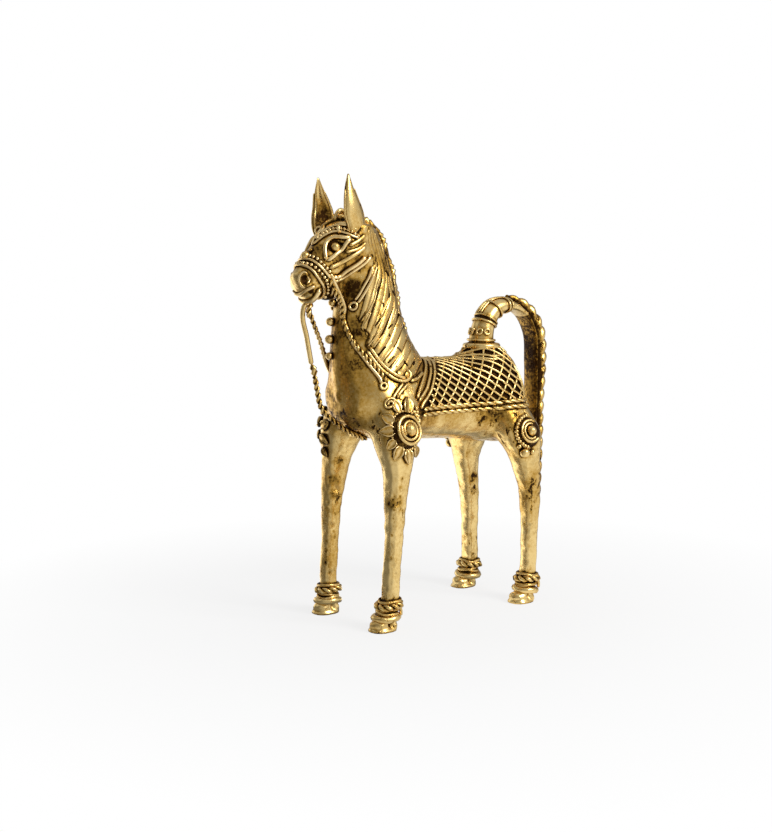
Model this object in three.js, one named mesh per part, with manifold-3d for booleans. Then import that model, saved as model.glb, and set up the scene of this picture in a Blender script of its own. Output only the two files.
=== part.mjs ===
// Brass horse figurine in the lost-wax thread style: a clay core, smooth cast forms over it,
// and the strands, plaits, rosettes and lattice that the founder lays on before the pour.
// Millimetres, +Z up. The horse faces -Y and its left side is +X. The soles stand on Z = 0.
import * as THREE from "three";
import { mergeVertices } from "three/addons/utils/BufferGeometryUtils.js";
import Module from "manifold-3d";

const wasm = await Module();
wasm.setup();

// Seams, walls and the wax strands
const SEAM = 0.3; // gap between a piece and what it seats on
const BRASS_WALL = 2.6; // brass over the clay core
const STRAND_RADIUS = 0.75; // a plain laid strand
const ROPE_RADIUS = 1.15; // two strands twisted together

// Stance
const STANCE_WIDTH = 36.4; // left sole centre to right sole centre
const STANCE_LENGTH = 74.7; // front sole centre to hind sole centre

// Hooves, anklets and legs
const HOOF_HEIGHT = 5.2;
const SOLE_RADIUS = 4.6;
const PASTERN_RADIUS = 3.8; // hoof where it meets the leg
const TOE_REACH = 3.6; // sole centre ahead of the leg
const STEPPING_TOE_REACH = 0.4; // the same under the right foreleg, which stands a little forward
const SHANK_RADIUS = 3.5;
const KNEE_RADIUS = 4.2;
const FOREARM_RADIUS = 5.6;
const SHOULDER_RADIUS = 9.2; // leg where it runs into the torso
const ANKLET_HEIGHT = 8;
const ANKLET_ROLL = 1.6; // how far a roll stands off the leg
const ANKLET_ROLLS = 3;

// Torso
const BACK_Z = 103;
const BELLY_Z = 69.5;
const CHEST_Y = -45;
const RUMP_Y = 46.5;
const SHOULDER_HALF_WIDTH = 17;
const BARREL_HALF_WIDTH = 13.8;
const HAUNCH_HALF_WIDTH = 15.2;

// Neck and head
const POLL_Z = 158; // top of the head between the ears
const NECK_FRONT_Y = -46.5;
const NECK_BASE_HALF_WIDTH = 13.6;
const NECK_TOP_HALF_WIDTH = 7.4;
const HEAD_REACH = 27.4; // back of the skull to the muzzle, along the ground
const HEAD_DROP = 17.2; // back of the skull down to the muzzle
const FACE_SLOPE = 33; // degrees between the sections of the head and upright
const MUZZLE_HALF_WIDTH = 6.2;
const MUZZLE_HALF_DEPTH = 6.8;
const CHEEK_HALF_WIDTH = 10;

// Ears, eyes and forelock
const EAR_LENGTH = 25; // with the root that sinks into the head
const EAR_HALF_WIDTH = 4.7; // front to back
const EAR_SPACING = 17.6; // between the ear roots
const EYE_LENGTH = 13;
const EYE_HEIGHT = 7.2;
const EYE_RIM = 1.3;
const EYEBALL_RADIUS = 1.9;
const KNOT_RADIUS = 2.7;

// Mane
const MANE_THICKNESS = 0.9;
const LOCK_HEIGHT = 1.1; // ridge of one lock over the mane
const LOCK_COUNT = 7;
const CREST_RADIUS = 1.5;

// Saddle cloth
const CLOTH_THICKNESS = 0.6;
const NET_STRAND = 0.9; // width and height of a lattice strand
const NET_COLUMNS = 6;
const NET_ROWS = 8;
const CLOTH_FRONT_Y = -2.5; // front edge at the withers
const CLOTH_REAR_Y = 40.5; // rear edge over the haunch
const CLOTH_SWEEP = 11; // how far the lower front corner reaches ahead of the withers edge
const BORDER_WIDTH = 4; // the strands along the front edge
const CLOTH_HEM = 10; // degrees below the torso's mid height

// Tail
const TAIL_ROOT_Y = 30.5;
const TAIL_ROOT_RADIUS = 5.4;
const TAIL_ARCH_Z = 124.8; // centre of the tail at the top of its arch
const TAIL_DROP_Y = 59.8; // centre of the falling part
const TAIL_TIP_Z = 38;
const TAIL_HALF_WIDTH = 4.2;
const TAIL_HALF_DEPTH = 2.2; // of the falling strap under the plait
const TAIL_TIP_RADIUS = 1.6;
const COLLAR_RADIUS = 7.6;
const COLLAR_HEIGHT = 2.2;
const PLAIT_RADIUS = 1.9;

// Rosettes
const BOSS_RADIUS = 5.6;
const BOSS_HEIGHT = 3.2;
const PETAL_COUNT = 9;
const PETAL_LENGTH = 6.4;
const HAUNCH_PETAL_LENGTH = 3.8;
const PETAL_WIDTH = 3.6;
const PETAL_THICKNESS = 1.3;

// Bridle, reins and breast strap
const BEAD_RADIUS = 1.9;
const BEAD_COUNT = 5;
const ROD_RADIUS = 1.0;
const ROD_LENGTH = 25; // plain upper part of the breast strap
const SWIVEL_RADIUS = 1.9;
const SWIVEL_LENGTH = 3.2;

const TURN = Math.PI * 2;
const radians = THREE.MathUtils.degToRad;
const lerp = THREE.MathUtils.lerp;
const vec = (x, y, z) => new THREE.Vector3(x, y, z);

// Solids

/** A closed triangle surface from a grid of points; each row is a closed ring, and the ends are fans. */
function skin(rings) {
  const sides = rings[0].length;
  const points = rings.flat();
  const index = [];
  for (let i = 0; i + 1 < rings.length; i++) {
    for (let j = 0; j < sides; j++) {
      const a = i * sides + j;
      const b = i * sides + ((j + 1) % sides);
      index.push(a, b, b + sides, a, b + sides, a + sides);
    }
  }
  const middle = (ring) => ring.reduce((sum, p) => sum.add(p), vec(0, 0, 0)).divideScalar(sides);
  const first = points.push(middle(rings[0])) - 1;
  const last = points.push(middle(rings.at(-1))) - 1;
  const end = (rings.length - 1) * sides;
  for (let j = 0; j < sides; j++) {
    const next = (j + 1) % sides;
    index.push(first, next, j, last, end + j, end + next);
  }
  const geometry = new THREE.BufferGeometry().setFromPoints(points);
  return geometry.setIndex(index);
}

/** The geometry as a manifold solid, with its shared vertices merged. */
function solidOf(geometry) {
  const bare = new THREE.BufferGeometry();
  bare.setAttribute("position", geometry.getAttribute("position"));
  bare.setIndex(geometry.index);
  const merged = mergeVertices(bare, 1e-4);
  return new wasm.Manifold(
    new wasm.Mesh({
      numProp: 3,
      vertProperties: new Float32Array(merged.attributes.position.array),
      triVerts: new Uint32Array(merged.index.array),
    }),
  );
}

/** A manifold solid as a geometry with flat-shaded normals. */
function geometryOf(solid) {
  const mesh = solid.getMesh();
  const geometry = new THREE.BufferGeometry();
  geometry.setAttribute("position", new THREE.BufferAttribute(mesh.vertProperties, 3));
  geometry.setIndex(new THREE.BufferAttribute(mesh.triVerts, 1));
  geometry.computeVertexNormals();
  return geometry;
}

const join = (...solids) => solids.reduce((sum, solid) => sum.add(solid));

/** The largest body left when the seats are cut out of a piece; slivers past a seat fall away. */
function seated(piece, ...seats) {
  const cut = seats.reduce((rest, seat) => rest.subtract(seat), piece);
  return cut.decompose().reduce((best, body) => (body.volume() > best.volume() ? body : best));
}

/** The solid mirrored to the right side. */
const mirrored = (solid) => solid.mirror([1, 0, 0]);

/**
 * A lofted form: elliptical sections strung along a smooth path.
 * rows: { at: [x, y, z], wide, deep } from one end to the other, as half sizes.
 * axis: sections stay square to this direction, or follow the path where it is left out.
 * nose: lengths of the domes on the two ends, 0 for a flat end.
 * At angle 0 a section points to the left side and at 90 degrees to the front or top.
 */
class Form {
  constructor(rows, { axis = null, sides = 16, steps = 12, nose = [0, 0] }) {
    this.path = new THREE.CatmullRomCurve3(rows.map((row) => vec(...row.at)));
    this.sizes = new THREE.CatmullRomCurve3(rows.map((row) => vec(row.wide, row.deep, 0)));
    Object.assign(this, { axis, sides, steps, nose });
  }

  section(t) {
    const centre = this.path.getPoint(t);
    const along = this.axis ? this.axis.clone().normalize() : this.path.getTangent(t);
    const side = vec(1, 0, 0).addScaledVector(along, -along.x).normalize();
    const up = side.clone().cross(along);
    const size = this.sizes.getPoint(t);
    return { centre, along, side, up, wide: size.x, deep: size.y };
  }

  /** A point over the surface, lifted off it. */
  point(t, angle, lift = 0) {
    const { centre, side, up, wide, deep } = this.section(t);
    return centre
      .addScaledVector(side, (wide + lift) * Math.cos(angle))
      .addScaledVector(up, (deep + lift) * Math.sin(angle));
  }

  ring(t, lift, shrink = 1, shift = 0) {
    const { centre, along } = this.section(t);
    return Array.from({ length: this.sides }, (_, j) =>
      this.point(t, (j / this.sides) * TURN, lift)
        .sub(centre)
        .multiplyScalar(shrink)
        .add(centre)
        .addScaledVector(along, shift),
    );
  }

  /** The rings that close one end, from the end outwards: a dome, or one flat ring. */
  dome(t, length, lift, direction) {
    const reach = length + lift;
    if (length === 0 || reach <= 0) return [this.ring(t, lift, 1, direction * reach)];
    const rings = [this.ring(t, lift)];
    for (const arc of [0.5, 0.8, 0.97]) {
      rings.push(this.ring(t, lift, Math.sqrt(1 - arc * arc), direction * reach * arc));
    }
    return rings;
  }

  /** The same form with fewer sections, for what is never seen. */
  coarse() {
    return Object.assign(Object.create(Form.prototype), this, {
      sides: this.sides / 2,
      steps: Math.ceil(this.steps / 2),
    });
  }

  /** The form as a solid, grown on every side by lift. */
  solid(lift = 0) {
    const rings = this.dome(0, this.nose[0], lift, -1).reverse();
    for (let i = 1; i < this.steps; i++) rings.push(this.ring(i / this.steps, lift));
    rings.push(...this.dome(1, this.nose[1], lift, 1));
    return solidOf(skin(rings.reverse()));
  }

  /** The path parameter where the path reaches a value of "y" or "z". */
  at(name, value) {
    let low = 0;
    let high = 1;
    const rising = this.path.getPoint(1)[name] > this.path.getPoint(0)[name];
    for (let i = 0; i < 40; i++) {
      const middle = (low + high) / 2;
      const below = this.path.getPoint(middle)[name] < value;
      if (below === rising) low = middle;
      else high = middle;
    }
    return (low + high) / 2;
  }

  /** How far to the left the grown form reaches at a given side-view place, or -Infinity outside it. */
  reach(y, z, lift) {
    const level = Math.abs(this.axis.z) > 0.5;
    const t = level ? this.at("z", z) : this.at("y", y);
    const { centre, wide, deep } = this.section(t);
    const missed = level ? Math.abs(centre.z - z) : Math.abs(centre.y - y);
    const offset = (level ? y - centre.y : z - centre.z) / (deep + lift);
    if (missed > 0.1 || Math.abs(offset) > 1) return -Infinity;
    return centre.x + (wide + lift) * Math.sqrt(1 - offset * offset);
  }
}

/**
 * A strand along a curve, closed at both ends.
 * shape(s, angle) scales the radius along the strand and around it.
 */
function strand(curve, radius, { sides = 6, steps = 24, shape = () => 1 } = {}) {
  const frames = curve.computeFrenetFrames(steps, false);
  const rings = [];
  for (let i = 0; i <= steps; i++) {
    const s = i / steps;
    const centre = curve.getPointAt(s);
    rings.push(
      Array.from({ length: sides }, (_, j) => {
        const angle = (j / sides) * TURN;
        const reach = radius * shape(s, angle);
        return centre
          .clone()
          .addScaledVector(frames.normals[i], reach * Math.cos(angle))
          .addScaledVector(frames.binormals[i], reach * Math.sin(angle));
      }),
    );
  }
  return solidOf(skin(rings));
}

/** The section of two strands twisted together. */
const twisted = (turns) => (s, angle) => 0.82 + 0.18 * Math.cos(2 * (angle - s * turns * TURN));

/** A row of lumps, each swelling from the thread's thickness. */
const lumpy = (count, thin) => (s) => lerp(thin, 1, Math.abs(Math.sin(s * count * Math.PI)));

/** A curve that keeps its lift over a form, through places given as [t, degrees]. */
function laid(form, route, lift) {
  const flat = new THREE.CatmullRomCurve3(route.map(([t, degrees]) => vec(t * 100, degrees, 0)));
  const places = flat.getPoints(route.length * 5);
  return new THREE.CatmullRomCurve3(places.map((p) => form.point(p.x / 100, radians(p.y), lift)));
}

/**
 * A ring round a form, closed on itself. The outline's corners are [share, lift]:
 * share runs from 0 to 1 between the two path parameters, and lift is measured off the form.
 */
function collar(form, start, end, outline) {
  const rings = outline.map(([share, lift]) => form.ring(lerp(start, end, share), lift));
  const sides = form.sides;
  const index = [];
  for (let i = 0; i < rings.length; i++) {
    const next = ((i + 1) % rings.length) * sides;
    for (let j = 0; j < sides; j++) {
      const k = (j + 1) % sides;
      index.push(i * sides + j, next + j, next + k, i * sides + j, next + k, i * sides + k);
    }
  }
  return outwards(rings.flat(), index);
}

/** The outline of rolls laid side by side, for a collar. */
function rolls(count, height) {
  const outline = [[0, SEAM]];
  for (let roll = 0; roll < count; roll++) {
    for (const [share, rise] of [[0.06, 0.5], [0.5, 1], [0.94, 0.5]]) {
      outline.push([(roll + share) / count, SEAM + height * rise]);
    }
  }
  return [...outline, [1, SEAM]];
}

/** A closed surface as a solid, with its faces turned outwards. */
function outwards(points, index) {
  const geometry = new THREE.BufferGeometry().setFromPoints(points).setIndex(index);
  const solid = solidOf(geometry);
  if (solid.volume() > 0) return solid;
  const turned = [];
  for (let i = 0; i < index.length; i += 3) turned.push(index[i], index[i + 2], index[i + 1]);
  return solidOf(geometry.setIndex(turned));
}

/** A closed sheet over part of a form. inner and outer give its two lifts at (u, v) from 0 to 1. */
function sheet(form, { place, columns, rows, inner, outer }) {
  const lifted = (lift) => (u, v) => {
    const [t, angle] = place(u, v);
    return form.point(t, angle, lift(u, v));
  };
  const under = lifted(inner);
  const over = lifted(outer);
  const rings = [];
  for (let i = 0; i <= columns; i++) {
    const u = i / columns;
    const across = Array.from({ length: rows + 1 }, (_, j) => j / rows);
    const top = across.map((v) => over(u, v));
    const bottom = across.map((v) => under(u, v)).reverse();
    rings.push([...top, ...bottom]);
  }
  return rings;
}

/** A sheet's rings as a solid: the two ends are closed by strips between its faces. */
function sheetSolid(rings) {
  const sides = rings[0].length;
  const half = sides / 2;
  const index = [];
  for (let i = 0; i + 1 < rings.length; i++) {
    for (let j = 0; j < sides; j++) {
      const a = i * sides + j;
      const b = i * sides + ((j + 1) % sides);
      index.push(a, b, b + sides, a, b + sides, a + sides);
    }
  }
  const end = (rings.length - 1) * sides;
  for (let j = 0; j + 1 < half; j++) {
    const far = sides - 1 - j;
    index.push(j, far - 1, j + 1, j, far, far - 1);
    index.push(end + j, end + j + 1, end + far - 1, end + j, end + far - 1, end + far);
  }
  return outwards(rings.flat(), index);
}

// The smooth cast forms

const UP = vec(0, 0, 1);
const BACKWARDS = vec(0, 1, 0);
const SHOULDER_Z = lerp(BELLY_Z, BACK_Z, 0.42);

const torso = new Form(
  [
    [CHEST_Y + 3, -4.5, 11, 0.7],
    [CHEST_Y + 9, -1.2, 6, 0.93],
    [CHEST_Y + 20, 0.5, 2.4, 1],
  ]
    .map(([y, top, bottom, share]) => [y, BACK_Z + top, BELLY_Z + bottom, SHOULDER_HALF_WIDTH * share])
    .concat([
      [-4, BACK_Z, BELLY_Z + 1.4, BARREL_HALF_WIDTH],
      [14, BACK_Z - 0.4, BELLY_Z, BARREL_HALF_WIDTH],
      [RUMP_Y - 16, BACK_Z + 2.4, BELLY_Z - 2, HAUNCH_HALF_WIDTH],
      [RUMP_Y - 7, BACK_Z - 0.6, BELLY_Z - 1, HAUNCH_HALF_WIDTH * 0.96],
      [RUMP_Y - 2.5, BACK_Z - 6, BELLY_Z + 6, HAUNCH_HALF_WIDTH * 0.72],
    ])
    .map(([y, top, bottom, wide]) => ({
      at: [0, y, (top + bottom) / 2],
      wide,
      deep: (top - bottom) / 2,
    })),
  { axis: BACKWARDS, sides: 18, steps: 13, nose: [3, 2.5] },
);

// Each row of the neck: its height, how far its front and back stand behind the neck's front line,
// and its share of the way from the base's half width to the top's.
const neck = new Form(
  [
    [BACK_Z - 11, 0.5, 39, -0.15],
    [BACK_Z + 1, 0, 38.4, 0],
    [lerp(BACK_Z, POLL_Z, 0.17), 0, 33.6, 0.22],
    [lerp(BACK_Z, POLL_Z, 0.37), 0.8, 28.9, 0.5],
    [lerp(BACK_Z, POLL_Z, 0.58), 1.8, 26.9, 0.72],
    [lerp(BACK_Z, POLL_Z, 0.8), 1.6, 22.2, 0.9],
    [lerp(BACK_Z, POLL_Z, 0.93), 0.6, 18.8, 1],
  ].map(([z, front, back, share]) => ({
    at: [0, NECK_FRONT_Y + (front + back) / 2, z],
    wide: lerp(NECK_BASE_HALF_WIDTH, NECK_TOP_HALF_WIDTH, share),
    deep: (back - front) / 2,
  })),
  { axis: UP, sides: 14, steps: 7, nose: [0, 2.5] },
);

// The head runs from the muzzle up to the back of the skull.
const HEAD_AXIS = vec(0, Math.cos(radians(FACE_SLOPE)), Math.sin(radians(FACE_SLOPE)));
const HEAD_LENGTH = Math.hypot(HEAD_REACH, HEAD_DROP);
const SKULL = vec(0, -34, POLL_Z - 8);
const headRow = (reach, drop, wide, deep) => ({
  at: [0, SKULL.y - HEAD_REACH * reach, SKULL.z - HEAD_DROP * drop],
  wide,
  deep,
});
const head = new Form(
  [
    headRow(1, 1, MUZZLE_HALF_WIDTH * 0.96, MUZZLE_HALF_DEPTH * 0.96),
    headRow(0.82, 0.73, MUZZLE_HALF_WIDTH * 1.05, MUZZLE_HALF_DEPTH * 1.07),
    headRow(0.63, 0.475, CHEEK_HALF_WIDTH * 0.78, CHEEK_HALF_WIDTH * 0.86),
    headRow(0.425, 0.25, CHEEK_HALF_WIDTH * 0.97, CHEEK_HALF_WIDTH),
    headRow(0.215, 0.08, CHEEK_HALF_WIDTH, CHEEK_HALF_WIDTH * 1.04),
    headRow(0, 0, CHEEK_HALF_WIDTH * 0.9, CHEEK_HALF_WIDTH * 0.94),
  ],
  { axis: HEAD_AXIS, sides: 14, steps: 9, nose: [3.2, 4] },
);

/** A leg on the left side: slender to the knee, flaring into the torso above. */
function legForm({ soleY, toe, lean, rootY, rootZ }) {
  const x = STANCE_WIDTH / 2;
  const ankleY = soleY + toe;
  const low = HOOF_HEIGHT + SEAM;
  const height = rootZ - low;
  const row = (share, inward, y, wide, deep) => ({ at: [x - inward, y, low + height * share], wide, deep });
  return new Form(
    [
      row(0, 0, ankleY, SHANK_RADIUS, SHANK_RADIUS),
      row(0.25, 0, ankleY + lean * 0.4, SHANK_RADIUS, SHANK_RADIUS),
      row(0.52, 0, ankleY + lean, KNEE_RADIUS, KNEE_RADIUS),
      row(0.75, 0.4, lerp(ankleY + lean, rootY, 0.5), FOREARM_RADIUS, FOREARM_RADIUS * 1.1),
      row(1, 5, rootY, SHOULDER_RADIUS, SHOULDER_RADIUS * 1.15),
    ],
    { axis: UP, sides: 10, steps: 8, nose: [0, 6] },
  );
}

const FRONT_SOLE_Y = -STANCE_LENGTH / 2;
const HIND_SOLE_Y = STANCE_LENGTH / 2;
const HAUNCH_Z = lerp(BELLY_Z, BACK_Z, 0.24);
const frontLeg = legForm({ soleY: FRONT_SOLE_Y, toe: TOE_REACH, lean: 2.4, rootY: -29, rootZ: SHOULDER_Z });
const steppingLeg = legForm({
  soleY: FRONT_SOLE_Y,
  toe: STEPPING_TOE_REACH,
  lean: 1.6,
  rootY: -30,
  rootZ: SHOULDER_Z,
});
const hindLeg = legForm({ soleY: HIND_SOLE_Y, toe: TOE_REACH, lean: 0.2, rootY: RUMP_Y - 10, rootZ: HAUNCH_Z });

function hoofForm(soleY, toe) {
  const x = STANCE_WIDTH / 2;
  const row = (share, wide, deep) => ({ at: [x, soleY + toe * share, HOOF_HEIGHT * share], wide, deep });
  const middle = lerp(SOLE_RADIUS, PASTERN_RADIUS, 0.7);
  return new Form(
    [
      row(0, SOLE_RADIUS, SOLE_RADIUS * 1.12),
      row(0.2, SOLE_RADIUS * 1.03, SOLE_RADIUS * 1.12),
      row(0.65, middle, middle * 1.04),
      row(1, PASTERN_RADIUS, PASTERN_RADIUS),
    ],
    { axis: UP, sides: 12, steps: 4 },
  );
}

/** A row of the tail: its share of the way back, its height, and its half sizes. */
const tailRow = (share, z, wide, deep) => ({ at: [0, lerp(TAIL_ROOT_Y, TAIL_DROP_Y, share), z], wide, deep });
const tailFall = (share) => lerp(TAIL_ARCH_Z, TAIL_TIP_Z, share);
const tail = new Form(
  [
    tailRow(0.02, BACK_Z - 8, TAIL_ROOT_RADIUS, TAIL_ROOT_RADIUS),
    tailRow(-0.01, BACK_Z + 5, TAIL_ROOT_RADIUS * 0.98, TAIL_ROOT_RADIUS * 0.96),
    tailRow(0.06, lerp(BACK_Z, TAIL_ARCH_Z, 0.62), TAIL_ROOT_RADIUS * 0.9, TAIL_ROOT_RADIUS * 0.84),
    tailRow(0.25, tailFall(0.02), TAIL_ROOT_RADIUS * 0.84, TAIL_ROOT_RADIUS * 0.72),
    tailRow(0.51, TAIL_ARCH_Z, TAIL_HALF_WIDTH, TAIL_HALF_DEPTH * 1.45),
    tailRow(0.79, tailFall(0.04), TAIL_HALF_WIDTH, TAIL_HALF_DEPTH * 1.15),
    tailRow(0.95, tailFall(0.14), TAIL_HALF_WIDTH, TAIL_HALF_DEPTH),
    tailRow(1, tailFall(0.29), TAIL_HALF_WIDTH, TAIL_HALF_DEPTH),
    tailRow(1, tailFall(0.48), TAIL_HALF_WIDTH * 0.93, TAIL_HALF_DEPTH),
    tailRow(1.03, tailFall(0.66), TAIL_HALF_WIDTH * 0.76, TAIL_HALF_DEPTH * 0.95),
    tailRow(1.08, tailFall(0.84), TAIL_HALF_WIDTH * 0.58, TAIL_HALF_DEPTH * 0.86),
    tailRow(1.11, TAIL_TIP_Z, TAIL_TIP_RADIUS, TAIL_TIP_RADIUS),
  ],
  { sides: 10, steps: 26, nose: [0, 1.5] },
);

// Grown copies of the cast forms, which cut each seat
const grown = {
  torso: torso.solid(SEAM),
  neck: neck.solid(SEAM),
  head: head.solid(SEAM),
  frontLeg: frontLeg.solid(SEAM),
  steppingLeg: steppingLeg.solid(SEAM),
  hindLeg: hindLeg.solid(SEAM),
  tail: tail.solid(SEAM),
};
const bothSides = (solid) => join(solid, mirrored(solid));
const grownLegs = join(grown.frontLeg, mirrored(grown.steppingLeg), bothSides(grown.hindLeg));

// The figure: named meshes in one group

const figure = new THREE.Group();
const BRASS = { color: 0xb08a3c, roughness: 0.34, metalness: 1 };
const DARK_BRASS = { color: 0x8a6a2c, roughness: 0.4, metalness: 1 };
const CLAY = { color: 0x4a3c32, roughness: 0.95, metalness: 0 };

function add(name, solid, finish = BRASS) {
  const mesh = new THREE.Mesh(geometryOf(solid), new THREE.MeshStandardMaterial(finish));
  mesh.name = name;
  figure.add(mesh);
}

/** A left piece and its mirror image. */
function addPair(name, solid, finish) {
  add(`${name}_left`, solid, finish);
  add(`${name}_right`, mirrored(solid), finish);
}

// Core and castings

/** The clay's shape, as far inside the brass as the inset says. */
function clayShape(inset) {
  const inside = join(torso.coarse().solid(-inset), neck.coarse().solid(-inset));
  return seated(inside, head.coarse().solid(inset));
}
const cavity = clayShape(BRASS_WALL);
add("clay_core", clayShape(BRASS_WALL + SEAM), CLAY);
add("torso", torso.solid().subtract(cavity));
add("neck", seated(neck.solid(), grown.torso, grown.head, cavity));
add("head", head.solid());
add("front_leg_left", seated(frontLeg.solid(), grown.torso));
add("front_leg_right", mirrored(seated(steppingLeg.solid(), grown.torso)));
addPair("hind_leg", seated(hindLeg.solid(), grown.torso));
add("front_hoof_left", hoofForm(FRONT_SOLE_Y, TOE_REACH).solid());
add("front_hoof_right", mirrored(hoofForm(FRONT_SOLE_Y, STEPPING_TOE_REACH).solid()));
addPair("hind_hoof", hoofForm(HIND_SOLE_Y, TOE_REACH).solid());

// Anklets: rolls stacked round the ankle, closed on themselves

function anklet(form) {
  const low = HOOF_HEIGHT + 2 * SEAM;
  return collar(form, form.at("z", low), form.at("z", low + ANKLET_HEIGHT), rolls(ANKLET_ROLLS, ANKLET_ROLL));
}
add("front_anklet_left", anklet(frontLeg));
add("front_anklet_right", mirrored(anklet(steppingLeg)));
addPair("hind_anklet", anklet(hindLeg));

// Ears, with a hollow on the inside, and the knot between them

function ear() {
  const root = vec(EAR_SPACING / 2, -42.4, POLL_Z - 8);
  const lean = vec(-0.02, -0.17, 1);
  const at = (share) => root.clone().addScaledVector(lean, EAR_LENGTH * share);
  const rows = [
    [0, 0.64, 0.78],
    [0.3, 0.66, 1],
    [0.55, 0.58, 0.9],
    [0.82, 0.34, 0.44],
    [1, 0.1, 0.12],
  ];
  const form = (shift, shrink) =>
    new Form(
      rows.map(([share, wide, deep]) => ({
        at: at(share).add(vec(shift, 0, 0)).toArray(),
        wide: EAR_HALF_WIDTH * wide * shrink,
        deep: EAR_HALF_WIDTH * deep * shrink,
      })),
      { axis: UP, sides: 8, steps: 5 },
    );
  const outer = form(0, 1);
  const hollow = form(-EAR_HALF_WIDTH * 0.42, 0.78).solid();
  return { solid: outer.solid().subtract(hollow), grown: outer.solid(SEAM) };
}
const grownEar = ear().grown;
addPair("ear", seated(ear().solid, grown.head, grown.neck));

function forelockKnot() {
  const knot = new THREE.SphereGeometry(KNOT_RADIUS, 8, 6);
  knot.scale(0.85, 1.2, 0.9);
  knot.translate(0, SKULL.y - 2.6 * KNOT_RADIUS, POLL_Z + 1.6);
  return seated(solidOf(knot), grown.head, grown.neck);
}
add("forelock_knot", forelockKnot());

// Eyes: an almond rim and the ball inside it

const EYE_T = 0.5;

function eyePlace() {
  const middle = head.point(EYE_T, radians(31), 0);
  const outward = vec(0.86, -0.38, 0.34).normalize();
  const along = vec(0, 0.87, 0.49);
  along.addScaledVector(outward, -along.dot(outward)).normalize();
  return new THREE.Matrix4().makeBasis(along, outward.clone().cross(along), outward).setPosition(middle);
}

function almond(length, height) {
  const shape = new THREE.Shape();
  shape.moveTo(-length / 2, -height * 0.12);
  shape.quadraticCurveTo(length * 0.12, -height, length / 2, height * 0.12);
  shape.quadraticCurveTo(-length * 0.12, height, -length / 2, -height * 0.12);
  return shape;
}

function eyeRim() {
  const outline = almond(EYE_LENGTH, EYE_HEIGHT);
  outline.holes.push(almond(EYE_LENGTH - 3.2 * EYE_RIM, EYE_HEIGHT - 2 * EYE_RIM));
  const rim = new THREE.ExtrudeGeometry(outline, { depth: 6, bevelEnabled: false, curveSegments: 5 });
  rim.translate(0, 0, -6 + EYE_RIM);
  rim.applyMatrix4(eyePlace());
  return seated(solidOf(rim), grown.head, grownEar);
}

function eyeball() {
  const ball = new THREE.SphereGeometry(EYEBALL_RADIUS, 10, 6);
  ball.applyMatrix4(eyePlace());
  return seated(solidOf(ball), grown.head);
}
addPair("eye_rim", eyeRim());
addPair("eyeball", eyeball());

// Mane: locks that sweep down both sides of the neck, and the plait along its crest

function mane() {
  const top = neck.at("z", POLL_Z - 7);
  const bottom = neck.at("z", BACK_Z - 4);
  const place = (u, v) => [lerp(bottom, top, u), radians(lerp(-74, lerp(-5, 50, Math.sin(u * 2)), v))];
  const lock = (u, v) => Math.abs(Math.sin((u * LOCK_COUNT + v * 2.4) * Math.PI * 0.5));
  const rings = sheet(neck, {
    place,
    columns: 15,
    rows: 5,
    inner: () => SEAM * 2,
    outer: (u, v) => SEAM * 2 + MANE_THICKNESS + LOCK_HEIGHT * lock(u, v),
  });
  return seated(sheetSolid(rings), grown.head, grown.torso);
}
addPair("mane", mane());

function crest() {
  const lift = CREST_RADIUS + SEAM;
  const route = [0.21, 0.36, 0.52, 0.7, 0.86, 0.98].map((t) => [t, -90]);
  const plait = strand(laid(neck, route, lift), CREST_RADIUS, { sides: 6, steps: 30, shape: lumpy(10, 0.72) });
  return seated(plait, grown.neck, grown.torso, grown.head);
}
add("crest_plait", seated(crest(), bothSides(mane())));

// Bridle

const NOSE_T = 0.19;
const BROW_T = 0.66;

const BAND_WIDTH = 2 * STRAND_RADIUS * 1.3;
const bandShare = BAND_WIDTH / HEAD_LENGTH;
const noseband = collar(head, NOSE_T - bandShare * 1.5, NOSE_T + bandShare * 1.5, rolls(3, 2 * STRAND_RADIUS));
add("noseband", noseband);

function browband() {
  const rings = sheet(head, {
    place: (u, v) => {
      const angle = radians(lerp(18, 162, u));
      return [BROW_T + 0.12 * (1 - Math.sin(angle)) + bandShare * 2 * (v - 0.5), angle];
    },
    columns: 10,
    rows: 4,
    inner: () => SEAM,
    outer: (u, v) => SEAM + 2 * STRAND_RADIUS * lerp(0.5, 1, Math.abs(Math.sin(v * TURN))),
  });
  return seated(sheetSolid(rings), bothSides(grownEar), bothSides(eyeRim()));
}
add("browband", browband());

/** The left side's furthest reach over torso, neck and one leg, as a point lifted off them. */
function onFlank(y, z, lift, leg = frontLeg) {
  const reaches = [torso, neck, leg].map((form) => form.reach(y, z, lift));
  return vec(Math.max(...reaches), y, z);
}

function cheekStrap() {
  const route = [[NOSE_T + 0.11, -8], [0.45, -14], [0.66, -18], [0.9, -14]];
  const strap = strand(laid(head, route, STRAND_RADIUS + SEAM), STRAND_RADIUS, { steps: 14 });
  return seated(strap, grown.head, grown.neck, noseband, mane());
}
addPair("cheek_strap", cheekStrap());

function throatBeads() {
  const lift = BEAD_RADIUS + SEAM;
  const levels = [0.41, 0.3, 0.2, 0.1, 0].map((share) => lerp(BACK_Z, POLL_Z, share));
  const route = levels.map((z) => [neck.at("z", z), 90]);
  const string = strand(laid(neck, route, lift), BEAD_RADIUS, { sides: 6, steps: 6 * BEAD_COUNT, shape: lumpy(BEAD_COUNT, 0.35) });
  return seated(string, grown.neck, grown.torso, grown.head);
}
add("throat_beads", throatBeads());

// Reins: free from the noseband to the neck, then laid round the foot of the mane

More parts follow.
